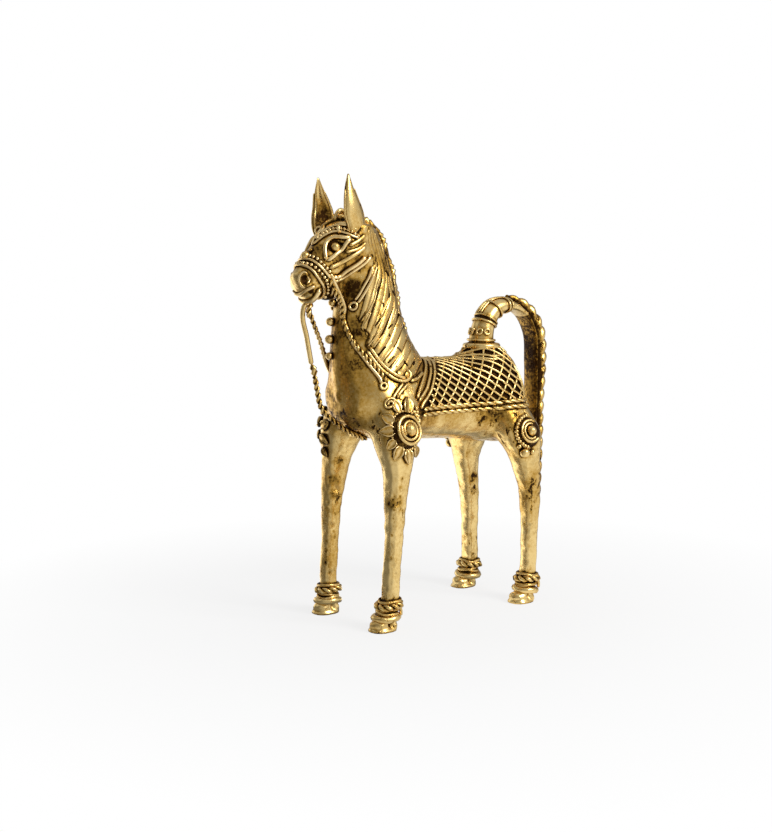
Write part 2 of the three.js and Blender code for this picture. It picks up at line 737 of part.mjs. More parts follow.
function rein() {
  const lift = ROPE_RADIUS + SEAM;
  const ring = head.point(NOSE_T + 0.03, radians(-12), STRAND_RADIUS * 2 + lift + SEAM);
  const onNeck = (share, degrees) => {
    const t = neck.at("z", lerp(BACK_Z, POLL_Z, share));
    return neck.point(t, radians(degrees), lift);
  };
  const curve = new THREE.CatmullRomCurve3([
    ring,
    ring.clone().lerp(onNeck(0.42, 66), 0.5).add(vec(1.2, -0.6, 0)),
    onNeck(0.42, 66),
    onNeck(0.31, 60),
    onNeck(0.17, 52),
    onNeck(0.055, 40),
    onFlank(-33.5, BACK_Z - 2.5, lift),
    onFlank(-26.5, BACK_Z - 6, lift),
    onFlank(-18, BACK_Z - 4.5, lift),
  ]);
  const rope = strand(curve, ROPE_RADIUS, { sides: 5, steps: 34, shape: twisted(8) });
  return seated(rope, grown.neck, grown.torso, grown.head, noseband, mane());
}
addPair("rein", rein());

// Breast strap: a plain rod from the chin, a swivel, and a rope down to the chest

const chin = head.point(0.06, radians(-90), 0);
const rodTop = chin.clone().add(vec(0, -0.6, -ROD_RADIUS - SEAM));
const swivelTop = rodTop.clone().add(vec(0, -0.4, -ROD_LENGTH));
const swivelFoot = swivelTop.clone().add(vec(0, 0.8, -SWIVEL_LENGTH));

function strapRod() {
  const curve = new THREE.CatmullRomCurve3([
    rodTop,
    rodTop.clone().add(vec(0, -2.4, -2.6)),
    rodTop.clone().add(vec(0, -2.8, -7)),
    swivelTop.clone().add(vec(0, 0, SEAM)),
  ]);
  return seated(strand(curve, ROD_RADIUS, { sides: 6, steps: 10 }), grown.head, noseband);
}
add("strap_rod", strapRod());

function strapSwivel() {
  const curve = new THREE.LineCurve3(swivelTop, swivelFoot);
  return strand(curve, SWIVEL_RADIUS, { sides: 8, steps: 6, shape: lumpy(1, 0.5) });
}
add("strap_swivel", strapSwivel());

function strapRope() {
  const lift = ROPE_RADIUS + SEAM;
  const under = (y) => torso.point(torso.at("y", y), radians(-90), lift);
  const start = swivelFoot.clone().add(vec(0, 0.1, -SEAM));
  const curve = new THREE.CatmullRomCurve3([
    start,
    start.clone().add(vec(0, 2.2, -9)),
    start.clone().add(vec(0, 6, -16)),
    under(CHEST_Y + 7),
    under(CHEST_Y + 13),
    under(CHEST_Y + 19),
  ]);
  return seated(strand(curve, ROPE_RADIUS, { sides: 5, steps: 28, shape: twisted(7) }), grown.torso, grownLegs);
}
add("strap_rope", seated(strapRope(), throatBeads()));

// Saddle cloth, its lattice and its borders

const clothTop = 90;
const clothSpan = 90 + CLOTH_HEM; // degrees from the spine down to the hem
const clothPlace = (u, v) => {
  const fall = Math.abs(v - 0.5) * 2;
  const front = CLOTH_FRONT_Y - CLOTH_SWEEP * fall * fall;
  const angle = lerp(clothTop - clothSpan, clothTop + clothSpan, v);
  return [torso.at("y", lerp(front, CLOTH_REAR_Y, u)), radians(angle)];
};

const tailRoot = (radius) => {
  const post = new THREE.CylinderGeometry(radius, radius, 40, 20);
  post.rotateX(Math.PI / 2);
  post.translate(0, TAIL_ROOT_Y, BACK_Z + 10);
  return solidOf(post);
};

const clothSeats = [grown.neck, grownLegs, tailRoot(COLLAR_RADIUS + SEAM)];
const cloth = sheet(torso, {
  place: (u, v) => clothPlace(1 - (1 - u) ** 1.6, v),
  columns: 8,
  rows: 14,
  inner: () => SEAM * 1.5,
  outer: () => SEAM * 1.5 + CLOTH_THICKNESS,
});
add("saddle_cloth", seated(sheetSolid(cloth), ...clothSeats), DARK_BRASS);

// The room that the cloth and its lattice take up
const saddleSpace = sheetSolid(
  sheet(torso, {
    place: (u, v) => clothPlace(u * 1.03 - 0.015, v * 1.1 - 0.05),
    columns: 6,
    rows: 14,
    inner: () => -1,
    outer: () => 5 * SEAM + CLOTH_THICKNESS + NET_STRAND,
  }),
);

/** The rope under the cloth's left hem. */
function hem() {
  const drop = clothTop - clothSpan - 7;
  const stops = [0, 0.25, 0.5, 0.75, 1].map((u) => [clothPlace(u, 0)[0], drop]);
  const rope = strand(laid(torso, stops, ROPE_RADIUS + SEAM), ROPE_RADIUS, { sides: 5, steps: 26, shape: twisted(6) });
  return seated(rope, grownLegs);
}
addPair("saddle_hem", hem());

/** Three strands side by side along the cloth's front edge. */
function frontBorder() {
  const width = BORDER_WIDTH / (CLOTH_REAR_Y - CLOTH_FRONT_Y);
  const rings = sheet(torso, {
    place: (u, v) => clothPlace((u - 1) * width - 0.015, v),
    columns: 6,
    rows: 14,
    inner: () => SEAM,
    outer: (u) => SEAM + 2 * STRAND_RADIUS * lerp(0.55, 1, Math.abs(Math.sin(u * 3 * Math.PI))),
  });
  return seated(sheetSolid(rings), neck.solid(2 * CREST_RADIUS + 2 * SEAM), grownLegs);
}
add("saddle_front_border", frontBorder());

/** A net of crossing strands over the unit square, bent over the cloth. */
function lattice() {
  const clothLength = CLOTH_REAR_Y - CLOTH_FRONT_Y + CLOTH_SWEEP * 0.5;
  const half = { u: 0.5 / NET_COLUMNS, v: 0.5 / NET_ROWS };
  const keep = (NET_STRAND * Math.SQRT2) / (clothLength / NET_COLUMNS);
  const spots = [];
  const known = new Map();
  const spot = (u, v) => {
    const place = [THREE.MathUtils.clamp(u, 0, 1), THREE.MathUtils.clamp(v, 0, 1)];
    const key = place.map((value) => value.toFixed(6)).join();
    if (!known.has(key)) known.set(key, spots.push(place) - 1);
    return known.get(key);
  };
  const faces = [];
  const quad = (a, b, c, d) => {
    for (const face of [[a, b, c], [a, c, d]]) if (new Set(face).size === 3) faces.push(face);
  };
  const knot = (i, j) => {
    const [u, v] = [i * half.u, j * half.v];
    const [du, dv] = [keep * half.u, keep * half.v];
    return { left: spot(u - du, v), right: spot(u + du, v), low: spot(u, v - dv), high: spot(u, v + dv) };
  };
  for (let i = 0; i <= 2 * NET_COLUMNS; i++) {
    for (let j = i % 2; j <= 2 * NET_ROWS; j += 2) {
      const here = knot(i, j);
      quad(here.left, here.low, here.right, here.high);
      if (i === 2 * NET_COLUMNS) continue;
      if (j < 2 * NET_ROWS) {
        const next = knot(i + 1, j + 1);
        quad(here.right, next.low, next.left, here.high);
      }
      if (j > 0) {
        const next = knot(i + 1, j - 1);
        quad(here.low, next.left, next.high, here.right);
      }
    }
  }
  return thickened(spots, faces);
}

/** Flat faces over the cloth given a thickness: two skins and the walls round every gap. */
function thickened(spots, faces) {
  const bottom = 3 * SEAM + CLOTH_THICKNESS;
  const over = (lift) => spots.map(([u, v]) => torso.point(...clothPlace(u, v), lift));
  const count = spots.length;
  const index = [];
  const edges = new Map();
  for (const [a, b, c] of faces) {
    index.push(a, b, c, count + a, count + c, count + b);
    for (const [from, to] of [[a, b], [b, c], [c, a]]) edges.set(`${from},${to}`, [from, to]);
  }
  for (const [from, to] of edges.values()) {
    if (edges.has(`${to},${from}`)) continue;
    index.push(to, from, count + from, to, count + from, count + to);
  }
  return outwards([...over(bottom + NET_STRAND), ...over(bottom)], index);
}
add("saddle_lattice", seated(lattice(), ...clothSeats));

// Tail: collar, arch and the plait down its outer side

function tailCollar() {
  const inner = TAIL_ROOT_RADIUS + SEAM;
  const rim = COLLAR_HEIGHT / 2;
  const outline = [
    [inner, -6],
    [COLLAR_RADIUS - 1, -6],
    [COLLAR_RADIUS - 1, 0],
    [COLLAR_RADIUS, rim * 0.5],
    [COLLAR_RADIUS, rim * 1.5],
    [COLLAR_RADIUS - 1, COLLAR_HEIGHT],
    [inner, COLLAR_HEIGHT + 0.6],
    [inner, -6],
  ].map(([r, z]) => new THREE.Vector2(r, z));
  const ring = new THREE.LatheGeometry(outline, 16);
  ring.rotateX(Math.PI / 2);
  ring.translate(0, TAIL_ROOT_Y, BACK_Z + 1.6);
  return seated(solidOf(ring), grown.torso, grown.tail);
}
add("tail_collar", tailCollar(), DARK_BRASS);
add("tail", seated(tail.solid(), grown.torso));

function tailPlait() {
  const route = [0.41, 0.47, 0.53, 0.6, 0.7, 0.8, 0.9, 0.985].map((t) => [t, 90]);
  const lift = PLAIT_RADIUS + SEAM;
  const lumps = lumpy(14, 0.7);
  const shape = (s) => lumps(s) * lerp(0.5, 1, Math.min(1, s * 6));
  const plait = strand(laid(tail, route, lift), PLAIT_RADIUS, { sides: 6, steps: 42, shape });
  return plait;
}
add("tail_plait", tailPlait());

// Rosettes on the shoulders and haunches: a coiled boss with leaf petals round it

/** The matrix that lays a flat rosette on a left flank, facing out and turned about the vertical. */
function rosettePlace(leg, y, z, turn) {
  const middle = onFlank(y, z, SEAM, leg);
  const outward = vec(Math.cos(radians(turn)), Math.sin(radians(turn)), 0.08).normalize();
  const across = UP.clone().cross(outward).normalize();
  return new THREE.Matrix4().makeBasis(across, outward.clone().cross(across), outward).setPosition(middle);
}

function boss(place) {
  const outline = [
    [0, -4],
    [BOSS_RADIUS, -4],
    [BOSS_RADIUS, BOSS_HEIGHT * 0.3],
    [BOSS_RADIUS * 0.86, BOSS_HEIGHT * 0.56],
    [BOSS_RADIUS * 0.72, BOSS_HEIGHT * 0.36],
    [BOSS_RADIUS * 0.58, BOSS_HEIGHT * 0.66],
    [BOSS_RADIUS * 0.44, BOSS_HEIGHT * 0.46],
    [BOSS_RADIUS * 0.3, BOSS_HEIGHT * 0.86],
    [0, BOSS_HEIGHT],
  ].map(([r, z]) => new THREE.Vector2(r, z));
  const turned = new THREE.LatheGeometry(outline, 12);
  turned.rotateX(Math.PI / 2);
  turned.applyMatrix4(place);
  return solidOf(turned);
}

/** Leaf petals in a ring round the boss, drooping over the body behind them. */
function petals(place, length) {
  const inner = BOSS_RADIUS + SEAM;
  const root = inner + 0.9;
  const around = (turn, radius) => {
    const angle = (turn / PETAL_COUNT) * TURN;
    return new THREE.Vector2(radius * Math.cos(angle), radius * Math.sin(angle));
  };
  const outline = [];
  for (let i = 0; i < PETAL_COUNT; i++) {
    const spread = (PETAL_WIDTH / 2 / (root + length * 0.4) / TURN) * PETAL_COUNT;
    outline.push(around(i - 0.42, root));
    outline.push(around(i - spread, root + length * 0.4));
    outline.push(around(i, root + length));
    outline.push(around(i + spread, root + length * 0.4));
    outline.push(around(i + 0.42, root));
  }
  const star = new THREE.Shape(outline);
  star.holes.push(new THREE.Path().absarc(0, 0, inner, 0, TURN));
  const behind = PETAL_THICKNESS + 1;
  const settings = { depth: PETAL_THICKNESS + behind, bevelEnabled: false, curveSegments: 7 };
  const flower = new THREE.ExtrudeGeometry(star, settings);
  const spots = flower.getAttribute("position");
  for (let i = 0; i < spots.count; i++) {
    const droop = (spots.getX(i) ** 2 + spots.getY(i) ** 2) / (4 * SHOULDER_HALF_WIDTH);
    spots.setZ(i, spots.getZ(i) - behind - droop);
  }
  flower.applyMatrix4(place);
  return solidOf(flower);
}

/** A boss and its petals over one leg root, seated on everything behind them. */
function rosette(leg, y, z, turn, length) {
  const place = rosettePlace(leg, y, z, turn);
  const seats = [grown.torso, leg.solid(SEAM), grown.neck, saddleSpace];
  return { boss: seated(boss(place), ...seats), petals: seated(petals(place, length), ...seats) };
}
const shoulder = (leg) => rosette(leg, -29.5, SHOULDER_Z - 5, -14, PETAL_LENGTH);
const haunch = rosette(hindLeg, RUMP_Y - 10, HAUNCH_Z - 2, 20, HAUNCH_PETAL_LENGTH);
add("shoulder_boss_left", shoulder(frontLeg).boss, DARK_BRASS);
add("shoulder_boss_right", mirrored(shoulder(steppingLeg).boss), DARK_BRASS);
add("shoulder_petals_left", shoulder(frontLeg).petals);
add("shoulder_petals_right", mirrored(shoulder(steppingLeg).petals));
addPair("haunch_boss", haunch.boss, DARK_BRASS);
addPair("haunch_petals", haunch.petals);

// The origin is the middle of the footprint, on the floor.
const box = new THREE.Box3().setFromObject(figure);
const middle = box.getCenter(vec(0, 0, 0));
figure.children.forEach((mesh) => mesh.position.set(-middle.x, -middle.y, -box.min.z));

export default figure;
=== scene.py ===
"""Dresses the cast brass horse: a smooth cast skin that carries wax-thread ornament, dark in its recesses.

Sizes are in millimetres in the horse's own frame: x to its left, y to its rear, z up, with the middle of the
four soles at the origin. Finished meshes are in metres, in the part's frame.
"""

import logging
import math
from dataclasses import dataclass, field
from enum import Enum
from functools import cache

import bpy
import numpy as np
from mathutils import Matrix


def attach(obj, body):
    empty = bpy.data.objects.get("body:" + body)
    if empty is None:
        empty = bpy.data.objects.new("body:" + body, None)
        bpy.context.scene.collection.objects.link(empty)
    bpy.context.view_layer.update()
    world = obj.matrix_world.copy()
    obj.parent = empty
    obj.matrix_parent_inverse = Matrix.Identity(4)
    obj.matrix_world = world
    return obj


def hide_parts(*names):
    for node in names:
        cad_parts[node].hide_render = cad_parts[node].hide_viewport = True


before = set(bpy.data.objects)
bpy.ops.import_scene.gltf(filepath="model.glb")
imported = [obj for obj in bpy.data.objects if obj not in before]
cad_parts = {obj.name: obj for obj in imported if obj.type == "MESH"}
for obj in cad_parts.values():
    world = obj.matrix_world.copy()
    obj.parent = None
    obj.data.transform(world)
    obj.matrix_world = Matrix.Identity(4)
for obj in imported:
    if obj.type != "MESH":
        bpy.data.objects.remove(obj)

import openvdb
from mathutils import Vector, noise
from mathutils.bvhtree import BVHTree

Point = tuple[float, float, float]
Route = tuple[Point, ...]
Rows = tuple[tuple[float, ...], ...]
Mesh = bpy.types.Mesh
Socket = bpy.types.NodeSocket

LOG = logging.getLogger("brass_horse")
MM = 0.001
STANCE_OFFSET = np.array([0.0, -1.2404, 0.0])
STANCE = 18.2
LEFT = 1.0
RIGHT = -1.0
SIDES = {"left": LEFT, "right": RIGHT}
THREAD_STEP = 0.9
FINEST_STEP = 0.45
SWELL_BACK = 1.04


def to_frame(points: np.ndarray) -> np.ndarray:
    """Turns millimetres in the horse's frame into metres in the part's frame."""
    return (np.asarray(points, float) + STANCE_OFFSET) * MM


def unit(vectors: np.ndarray) -> np.ndarray:
    """Scales each vector to a length of one."""
    lengths = np.linalg.norm(vectors, axis=-1, keepdims=True)
    return vectors / np.maximum(lengths, 1e-9)


def eased(low: float, high: float, value: np.ndarray) -> np.ndarray:
    """Rises smoothly from 0 at low to 1 at high."""
    share = np.clip((value - low) / (high - low), 0.0, 1.0)
    return share * share * (3.0 - 2.0 * share)


def spline(knots: np.ndarray, rows: np.ndarray, at: np.ndarray) -> np.ndarray:
    """Passes a smooth curve through rows of numbers.

    Args:
        knots: the rising parameter of each row.
        rows: the values to pass through, one row for each knot.
        at: the parameters to read the curve at.

    Returns:
        One row of values for each parameter.
    """
    slopes = np.gradient(rows, knots, axis=0)
    index = np.clip(np.searchsorted(knots, at, side="right") - 1, 0, len(knots) - 2)
    width = (knots[index + 1] - knots[index])[:, None]
    t = (at - knots[index])[:, None] / width
    leave, arrive = slopes[index] * width, slopes[index + 1] * width
    square, cube = t * t, t * t * t
    return (
        (2 * cube - 3 * square + 1) * rows[index]
        + (cube - 2 * square + t) * leave
        + (3 * square - 2 * cube) * rows[index + 1]
        + (cube - square) * arrive
    )


def arc_lengths(points: np.ndarray) -> np.ndarray:
    """Gives the distance along a line at each of its points."""
    steps = np.linalg.norm(np.diff(points, axis=0), axis=1)
    return np.concatenate([[0.0], np.cumsum(steps)])


def resampled(points: np.ndarray, step: float, closed: bool = False) -> np.ndarray:
    """Draws a smooth line through points and walks it in even steps.

    Args:
        points: the places the line passes through.
        step: the distance between the new points.
        closed: whether the line runs back to its start.

    Returns:
        The new points, without a repeat of the first one.
    """
    points = np.asarray(points, float)
    if closed:
        points = np.vstack([points[-2:], points, points[:3]])
    knots = arc_lengths(points)
    first, last = (knots[2], knots[-3]) if closed else (knots[0], knots[-1])
    fine = spline(knots, points, np.linspace(first, last, max(40, int((last - first) / step * 4))))
    along = arc_lengths(fine)
    even = np.linspace(0.0, along[-1], max(4, int(round(along[-1] / step)) + 1))
    line = np.column_stack([np.interp(even, along, fine[:, i]) for i in range(3)])
    return line[:-1] if closed else line


def thread_line(places: np.ndarray, radius: float, closed: bool = False) -> np.ndarray:
    """Draws a smooth line through places, in steps that suit a thread of a radius."""
    return resampled(places, max(radius * THREAD_STEP, FINEST_STEP), closed)


def softened(rows: np.ndarray, rounds: int, closed: bool = False) -> np.ndarray:
    """Averages each row with its neighbours, keeping the two ends of an open line."""
    rows = rows.copy()
    for _ in range(rounds):
        mean = (np.roll(rows, 1, axis=0) + 2 * rows + np.roll(rows, -1, axis=0)) / 4
        if not closed:
            mean[0], mean[-1] = rows[0], rows[-1]
        rows = mean
    return rows


def mirrored(places: np.ndarray | Route, side: float) -> np.ndarray:
    """Gives places on the horse's left, or their mirror on its right."""
    return np.asarray(places, float) * np.array([side, 1.0, 1.0])


def across(half: Route) -> np.ndarray:
    """Gives a line over the head or back from right to left, from its left half that starts in the middle."""
    left = np.array(half, float)
    return np.vstack([mirrored(left[::-1], RIGHT), left[1:]])


@dataclass(frozen=True)
class Body:
    """A mesh in millimetres in the horse's frame."""

    points: np.ndarray
    faces: np.ndarray

    def normals(self) -> np.ndarray:
        """Gives each point's outward direction."""
        corners = self.points[self.faces]
        face_normals = np.cross(corners[:, 2] - corners[:, 0], corners[:, -1] - corners[:, 1])
        total = np.zeros_like(self.points)
        for i in range(self.faces.shape[1]):
            for k in range(3):
                total[:, k] += np.bincount(self.faces[:, i], face_normals[:, k], len(self.points))
        return unit(total)

    def moved_to_mean(self, share: float) -> "Body":
        """Moves each point a share of the way to the mean place of its neighbours."""
        size = len(self.points)
        ends, others = self.faces.ravel(), np.roll(self.faces, -1, axis=1).ravel()
        count = np.bincount(ends, minlength=size) + np.bincount(others, minlength=size)
        total = np.empty_like(self.points)
        for k in range(3):
            total[:, k] = np.bincount(ends, self.points[others, k], size)
            total[:, k] += np.bincount(others, self.points[ends, k], size)
        mean = total / np.maximum(count, 1)[:, None]
        return Body(self.points + (mean - self.points) * share, self.faces)

    def relaxed(self, rounds: int, strength: float = 0.5) -> "Body":
        """Smooths the ripples of the voxels away without shrinking the form."""
        body = self
        for turn in range(rounds):
            body = body.moved_to_mean(strength if turn % 2 == 0 else -strength * SWELL_BACK)
        return body

    def outward(self) -> "Body":
        """Gives the closed body with its faces turned outwards."""
        corners = (self.points - self.points.mean(axis=0))[self.faces]
        volume = np.einsum("ij,ij->i", corners[:, 0], np.cross(corners[:, 1], corners[:, 2])).sum()
        return self if volume > 0 else Body(self.points, self.faces[:, ::-1])


def loft(rings: np.ndarray) -> Body:
    """Skins closed rings that follow each other, with a cap of triangles at each end.

    Args:
        rings: an array of rings, points and coordinates. The rings turn anticlockwise about their direction.

    Returns:
        The closed body, with triangles written as quads that repeat a corner.
    """
    count, sides = rings.shape[:2]
    points = rings.reshape(-1, 3)
    base = np.arange(count - 1)[:, None] * sides
    ring = np.arange(sides)
    step = (ring + 1) % sides
    corners = [base + ring, base + step, base + sides + step, base + sides + ring]
    quads = np.stack(corners, axis=-1).reshape(-1, 4)
    middles = np.array([rings[0].mean(axis=0), rings[-1].mean(axis=0)])
    first, end = len(points), (count - 1) * sides
    start_cap = np.column_stack([np.full(sides, first), step, ring, ring])
    end_cap = np.column_stack([np.full(sides, first + 1), end + ring, end + step, end + step])
    return Body(np.vstack([points, middles]), np.vstack([quads, start_cap, end_cap]))


def lathe(profile: np.ndarray, sides: int) -> Body:
    """Turns a profile of radii and heights, from the bottom up, round the upright axis."""
    turns = np.linspace(0, math.tau, sides, endpoint=False)
    ring = np.column_stack([np.cos(turns), np.sin(turns), np.zeros(sides)])
    return loft(np.array([ring * (r, r, 0) + (0, 0, z) for r, z in profile]))


def ball(sides: int, rings: int) -> Body:
    """Gives a ball with a radius of one."""
    turns = np.radians(np.linspace(-78, 78, rings))
    return lathe(np.column_stack([np.cos(turns), np.sin(turns)]), sides)


def leaf() -> tuple[Body, np.ndarray]:
    """Gives a leaf that is one long, with a raised rim round a swelling face, and how deep its points lie."""
    half = [(1, 0), (0.84, 1), (0.62, 0.35)]
    face = [*half, (0, 0.75), *((-w, h) for w, h in half[::-1])]
    section = np.array([*face, (-0.6, -0.9), (0.6, -0.9)])
    depth = np.array([0.95, -0.2, 0.66, 0.14, 0.66, -0.2, 0.95, 1.0, 1.0])
    rings = []
    for share in np.linspace(0.03, 0.97, 9):
        wide = 0.35 * math.sin(math.pi * share**0.75) ** 0.9 + 0.012
        high = 0.17 * math.sin(math.pi * share) ** 0.6 + 0.02
        rings.append(np.column_stack([np.full(9, share - 0.5), section[:, 0] * wide, section[:, 1] * high]))
    return loft(np.array(rings)), np.concatenate([np.tile(depth, len(rings)), [0.5, 0.5]])


@dataclass(frozen=True)
class VoxelSpace:
    """A box of evenly spaced places at which a form's distance is read."""

    low: Point
    high: Point
    pitch: float

    def along(self, direction: Point) -> np.ndarray:
        """Gives how far each place lies in a direction, with only the axes that it needs."""
        total = np.zeros((1, 1, 1), np.float32)
        for axis, share in enumerate(direction):
            if abs(share) > 1e-9:
                places = np.arange(self.low[axis], self.high[axis], self.pitch, dtype=np.float32)
                shape = [-1 if i == axis else 1 for i in range(3)]
                total = total + (places * np.float32(share)).reshape(shape)
        return total

    def surface(self, distance: np.ndarray) -> Body:
        """Meshes the places where a distance is nought."""
        grid = openvdb.FloatGrid(self.pitch * 4)
        grid.copyFromArray(np.ascontiguousarray(distance, np.float32))
        points, quads = grid.convertToQuads(isovalue=0.0)
        places = np.asarray(points, float) * self.pitch + np.array(self.low)
        return Body(places, np.asarray(quads, np.int64)).outward()


@dataclass(frozen=True)
class Stack:
    """Oval sections stacked along a straight axis, rounded off at both ends.

    Each row is a station along the axis, the section's centre sideways and in depth, its half width and its
    half depth.
    """

    rows: Rows
    axis: Point = (0.0, 0.0, 1.0)
    depth: Point = (0.0, 1.0, 0.0)
    domes: tuple[float, float] = (0.0, 0.0)
    corner: float = 2.0

    def table(self) -> np.ndarray:
        """Gives finely spaced rows, with the rounded ends among them."""
        rows = np.array(self.rows, float)
        body = spline(rows[:, 0], rows, np.linspace(rows[0, 0], rows[-1, 0], 120))
        turns = np.radians(np.linspace(8.0, 89.0, 12))
        ends = []
        for row, dome, sign in ((body[0], self.domes[0], -1.0), (body[-1], self.domes[1], 1.0)):
            cap = np.tile(row, (len(turns), 1))
            cap[:, 0] += sign * max(dome, 0.05) * np.sin(turns)
            cap[:, 3:5] *= np.cos(turns)[:, None]
            ends.append(cap)
        return np.vstack([ends[0][::-1], body, ends[1]])

    def distance(self, space: VoxelSpace) -> np.ndarray:
        """Gives the distance of each place in a space to the form, negative inside it."""
        table = self.table()
        stations = table[:, 0]
        station = space.along(self.axis)
        middle_u, middle_w, half_u, half_w = (np.interp(station, stations, table[:, i]) for i in range(1, 5))
        u = space.along(tuple(np.cross(self.depth, self.axis))) - middle_u
        w = space.along(self.depth) - middle_w
        reach = np.sqrt(u * u + w * w)
        oval = (np.abs(u / half_u) ** self.corner + np.abs(w / half_w) ** self.corner) ** (1.0 / self.corner)
        radial = reach - reach / np.maximum(oval, 1e-6)
        slopes = np.gradient((table[:, 3] + table[:, 4]) / 2, stations)
        lean = np.interp(station, stations, np.clip(slopes, -3.0, 3.0))
        beyond = np.maximum(stations[0] - station, 0) + np.maximum(station - stations[-1], 0)
        near = radial / np.sqrt(1 + lean * lean)
        return np.where(beyond > 0, np.sqrt(np.maximum(radial, 0) ** 2 + beyond**2), near).astype(np.float32)


@dataclass(frozen=True)
class Lump:
    """An egg shape, added to a form or pressed into it."""

    centre: Point
    radii: Point

    def on(self, side: float) -> "Lump":
        """Gives the egg on the horse's left, or its mirror on the right."""
        x, y, z = self.centre
        return Lump((side * x, y, z), self.radii)

    def distance(self, space: VoxelSpace) -> np.ndarray:
        """Gives the distance of each place in a space to the egg, negative inside it."""
        x, y, z = ((space.along(tuple(np.eye(3)[i])) - self.centre[i]) / self.radii[i] for i in range(3))
        return ((np.sqrt(x**2 + y**2 + z**2) - 1) * min(self.radii)).astype(np.float32)


def merged(first: np.ndarray, second: np.ndarray, radius: float) -> np.ndarray:
    """Joins two distances with a fillet of about the given radius."""
    near = np.maximum(radius - np.abs(first - second), 0) / radius
    return np.minimum(first, second) - near * near * radius / 4


def carved(first: np.ndarray, second: np.ndarray, radius: float) -> np.ndarray:
    """Takes the second form out of the first, with its edge rounded."""
    return -merged(-first, second, radius)


def blended(fields: list[np.ndarray], softness: float) -> np.ndarray:
    """Joins several distances at once with soft, even hollows between them."""
    total = np.zeros((1, 1, 1), np.float32)
    for distance in fields:
        total = total + np.exp(np.clip(-distance / softness, -60.0, 40.0))
    return (-softness * np.log(np.maximum(total, 1e-26))).astype(np.float32)


def blunt(line: np.ndarray, radius: float, closed: bool) -> np.ndarray:
    """Gives a thread's radius along its line, rounded off at open ends."""
    if closed:
        return np.full(len(line), radius)
    along = arc_lengths(line)
    near = np.minimum(along, along[-1] - along) / radius
    return radius * np.sqrt(np.clip(1 - (1 - np.clip(near, 0, 1)) ** 2, 0.03, 1))


@dataclass(frozen=True)
class Thread:
    """A wax thread: its line, its radius and its way up at each point."""

    line: np.ndarray
    radius: np.ndarray
    up: np.ndarray
    closed: bool = False

    @staticmethod
    def free(places: np.ndarray | Route, radius: float, closed: bool = False) -> "Thread":
        """Gives a thread that hangs free of any surface."""
        line = thread_line(places, radius, closed)
        ahead = unit(np.gradient(line, axis=0))
        up = unit(np.cross(np.cross(ahead, np.array([0.3, 0.9, 0.3])), ahead))
        return Thread(line, blunt(line, radius, closed), up, closed)


@dataclass
class Ground:
    """What carries an ornament: a surface that points can be set on."""

    body: Body

    def __post_init__(self) -> None:
        """Makes the search tree over the faces."""
        self.search = BVHTree.FromPolygons(self.body.points.tolist(), self.body.faces.tolist())

    def set_down(self, points: np.ndarray | Route) -> tuple[np.ndarray, np.ndarray]:
        """Gives the nearest places on the surface to points near it, and the outward direction at each."""
        found = [self.search.find_nearest(Vector(p)) for p in points]
        return np.array([f[0] for f in found]), np.array([f[1] for f in found])

    def cast(self, start: np.ndarray, direction: np.ndarray) -> np.ndarray | None:
        """Gives where a ray meets the surface, or None."""
        hit = self.search.ray_cast(Vector(start), Vector(direction))[0]
        return None if hit is None else np.array(hit)

    def heights(self, points: np.ndarray, limit: float) -> np.ndarray:
        """Gives how far points stand off the surface, up to a limit."""
        found = [self.search.find_nearest(Vector(p), limit) for p in points]
        return np.array([limit if f[3] is None else f[3] for f in found])

    def lay(self, places: np.ndarray, radius: float, sink: float = 0.35, closed: bool = False) -> Thread:
        """Lays a thread on the surface.

        Args:
            places: the places it passes, on or near the surface.
            radius: the thread's radius.
            sink: the share of the radius that is pressed into the surface.
            closed: whether it runs back to its start.

        Returns:
            The thread, with its way up off the surface.
        """
        line, up = self.set_down(thread_line(places, radius, closed))
        line, up = softened(line, 3, closed), unit(softened(up, 4, closed))
        return Thread(line + up * radius * (1 - sink), blunt(line, radius, closed), up, closed)

    def drape(self, places: np.ndarray, radius: float, aside: tuple[float, float] = (0.0, 0.0)) -> Thread:
        """Hangs a thread from place to place, and rests it on the surface where it would sink in.

        Args:
            places: the places it passes.
            radius: the thread's radius.
            aside: how far it is moved sideways at its start and at its end, to lie beside another.

        Returns:
            The thread, with its way up off the surface.
        """
        line = thread_line(places, radius)
        up = unit(softened(self.set_down(line)[1], 6))
        line = line + np.cross(unit(np.gradient(line, axis=0)), up) * np.linspace(*aside, len(line))[:, None]
        seat, _ = self.set_down(line)
        height = np.einsum("ij,ij->i", line - seat, up)
        lift = np.maximum(radius * 0.6 - height, 0)
        line = softened(line + up * lift[:, None], 4)
        return Thread(line, blunt(line, radius, False), up)


@dataclass(frozen=True)
class Limb:
    """One leg: which it is, how far back its ankle stands, how much further back its knee is, how far back
    and how high its top is, and how far its ankle and its sole reach forward."""

    end: str
    side: str
    ankle: float
    lean: float
    root: tuple[float, float]
    toe: float
    sole: float

    def name(self, piece: str) -> str:
        """Names a piece of this leg."""
        return f"{self.end}_{piece}_{self.side}"


LIMBS = (
    Limb("front", "left", -33.75, 2.4, (-29.0, 83.6), 2.6, 4.0),
    Limb("front", "right", -37.4, 2.2, (-30.4, 83.6), 0.3, 1.4),
    Limb("hind", "left", 40.95, 0.2, (36.5, 77.5), 2.0, 4.4),
    Limb("hind", "right", 40.6, -0.9, (35.4, 77.5), 1.4, 4.2),
)


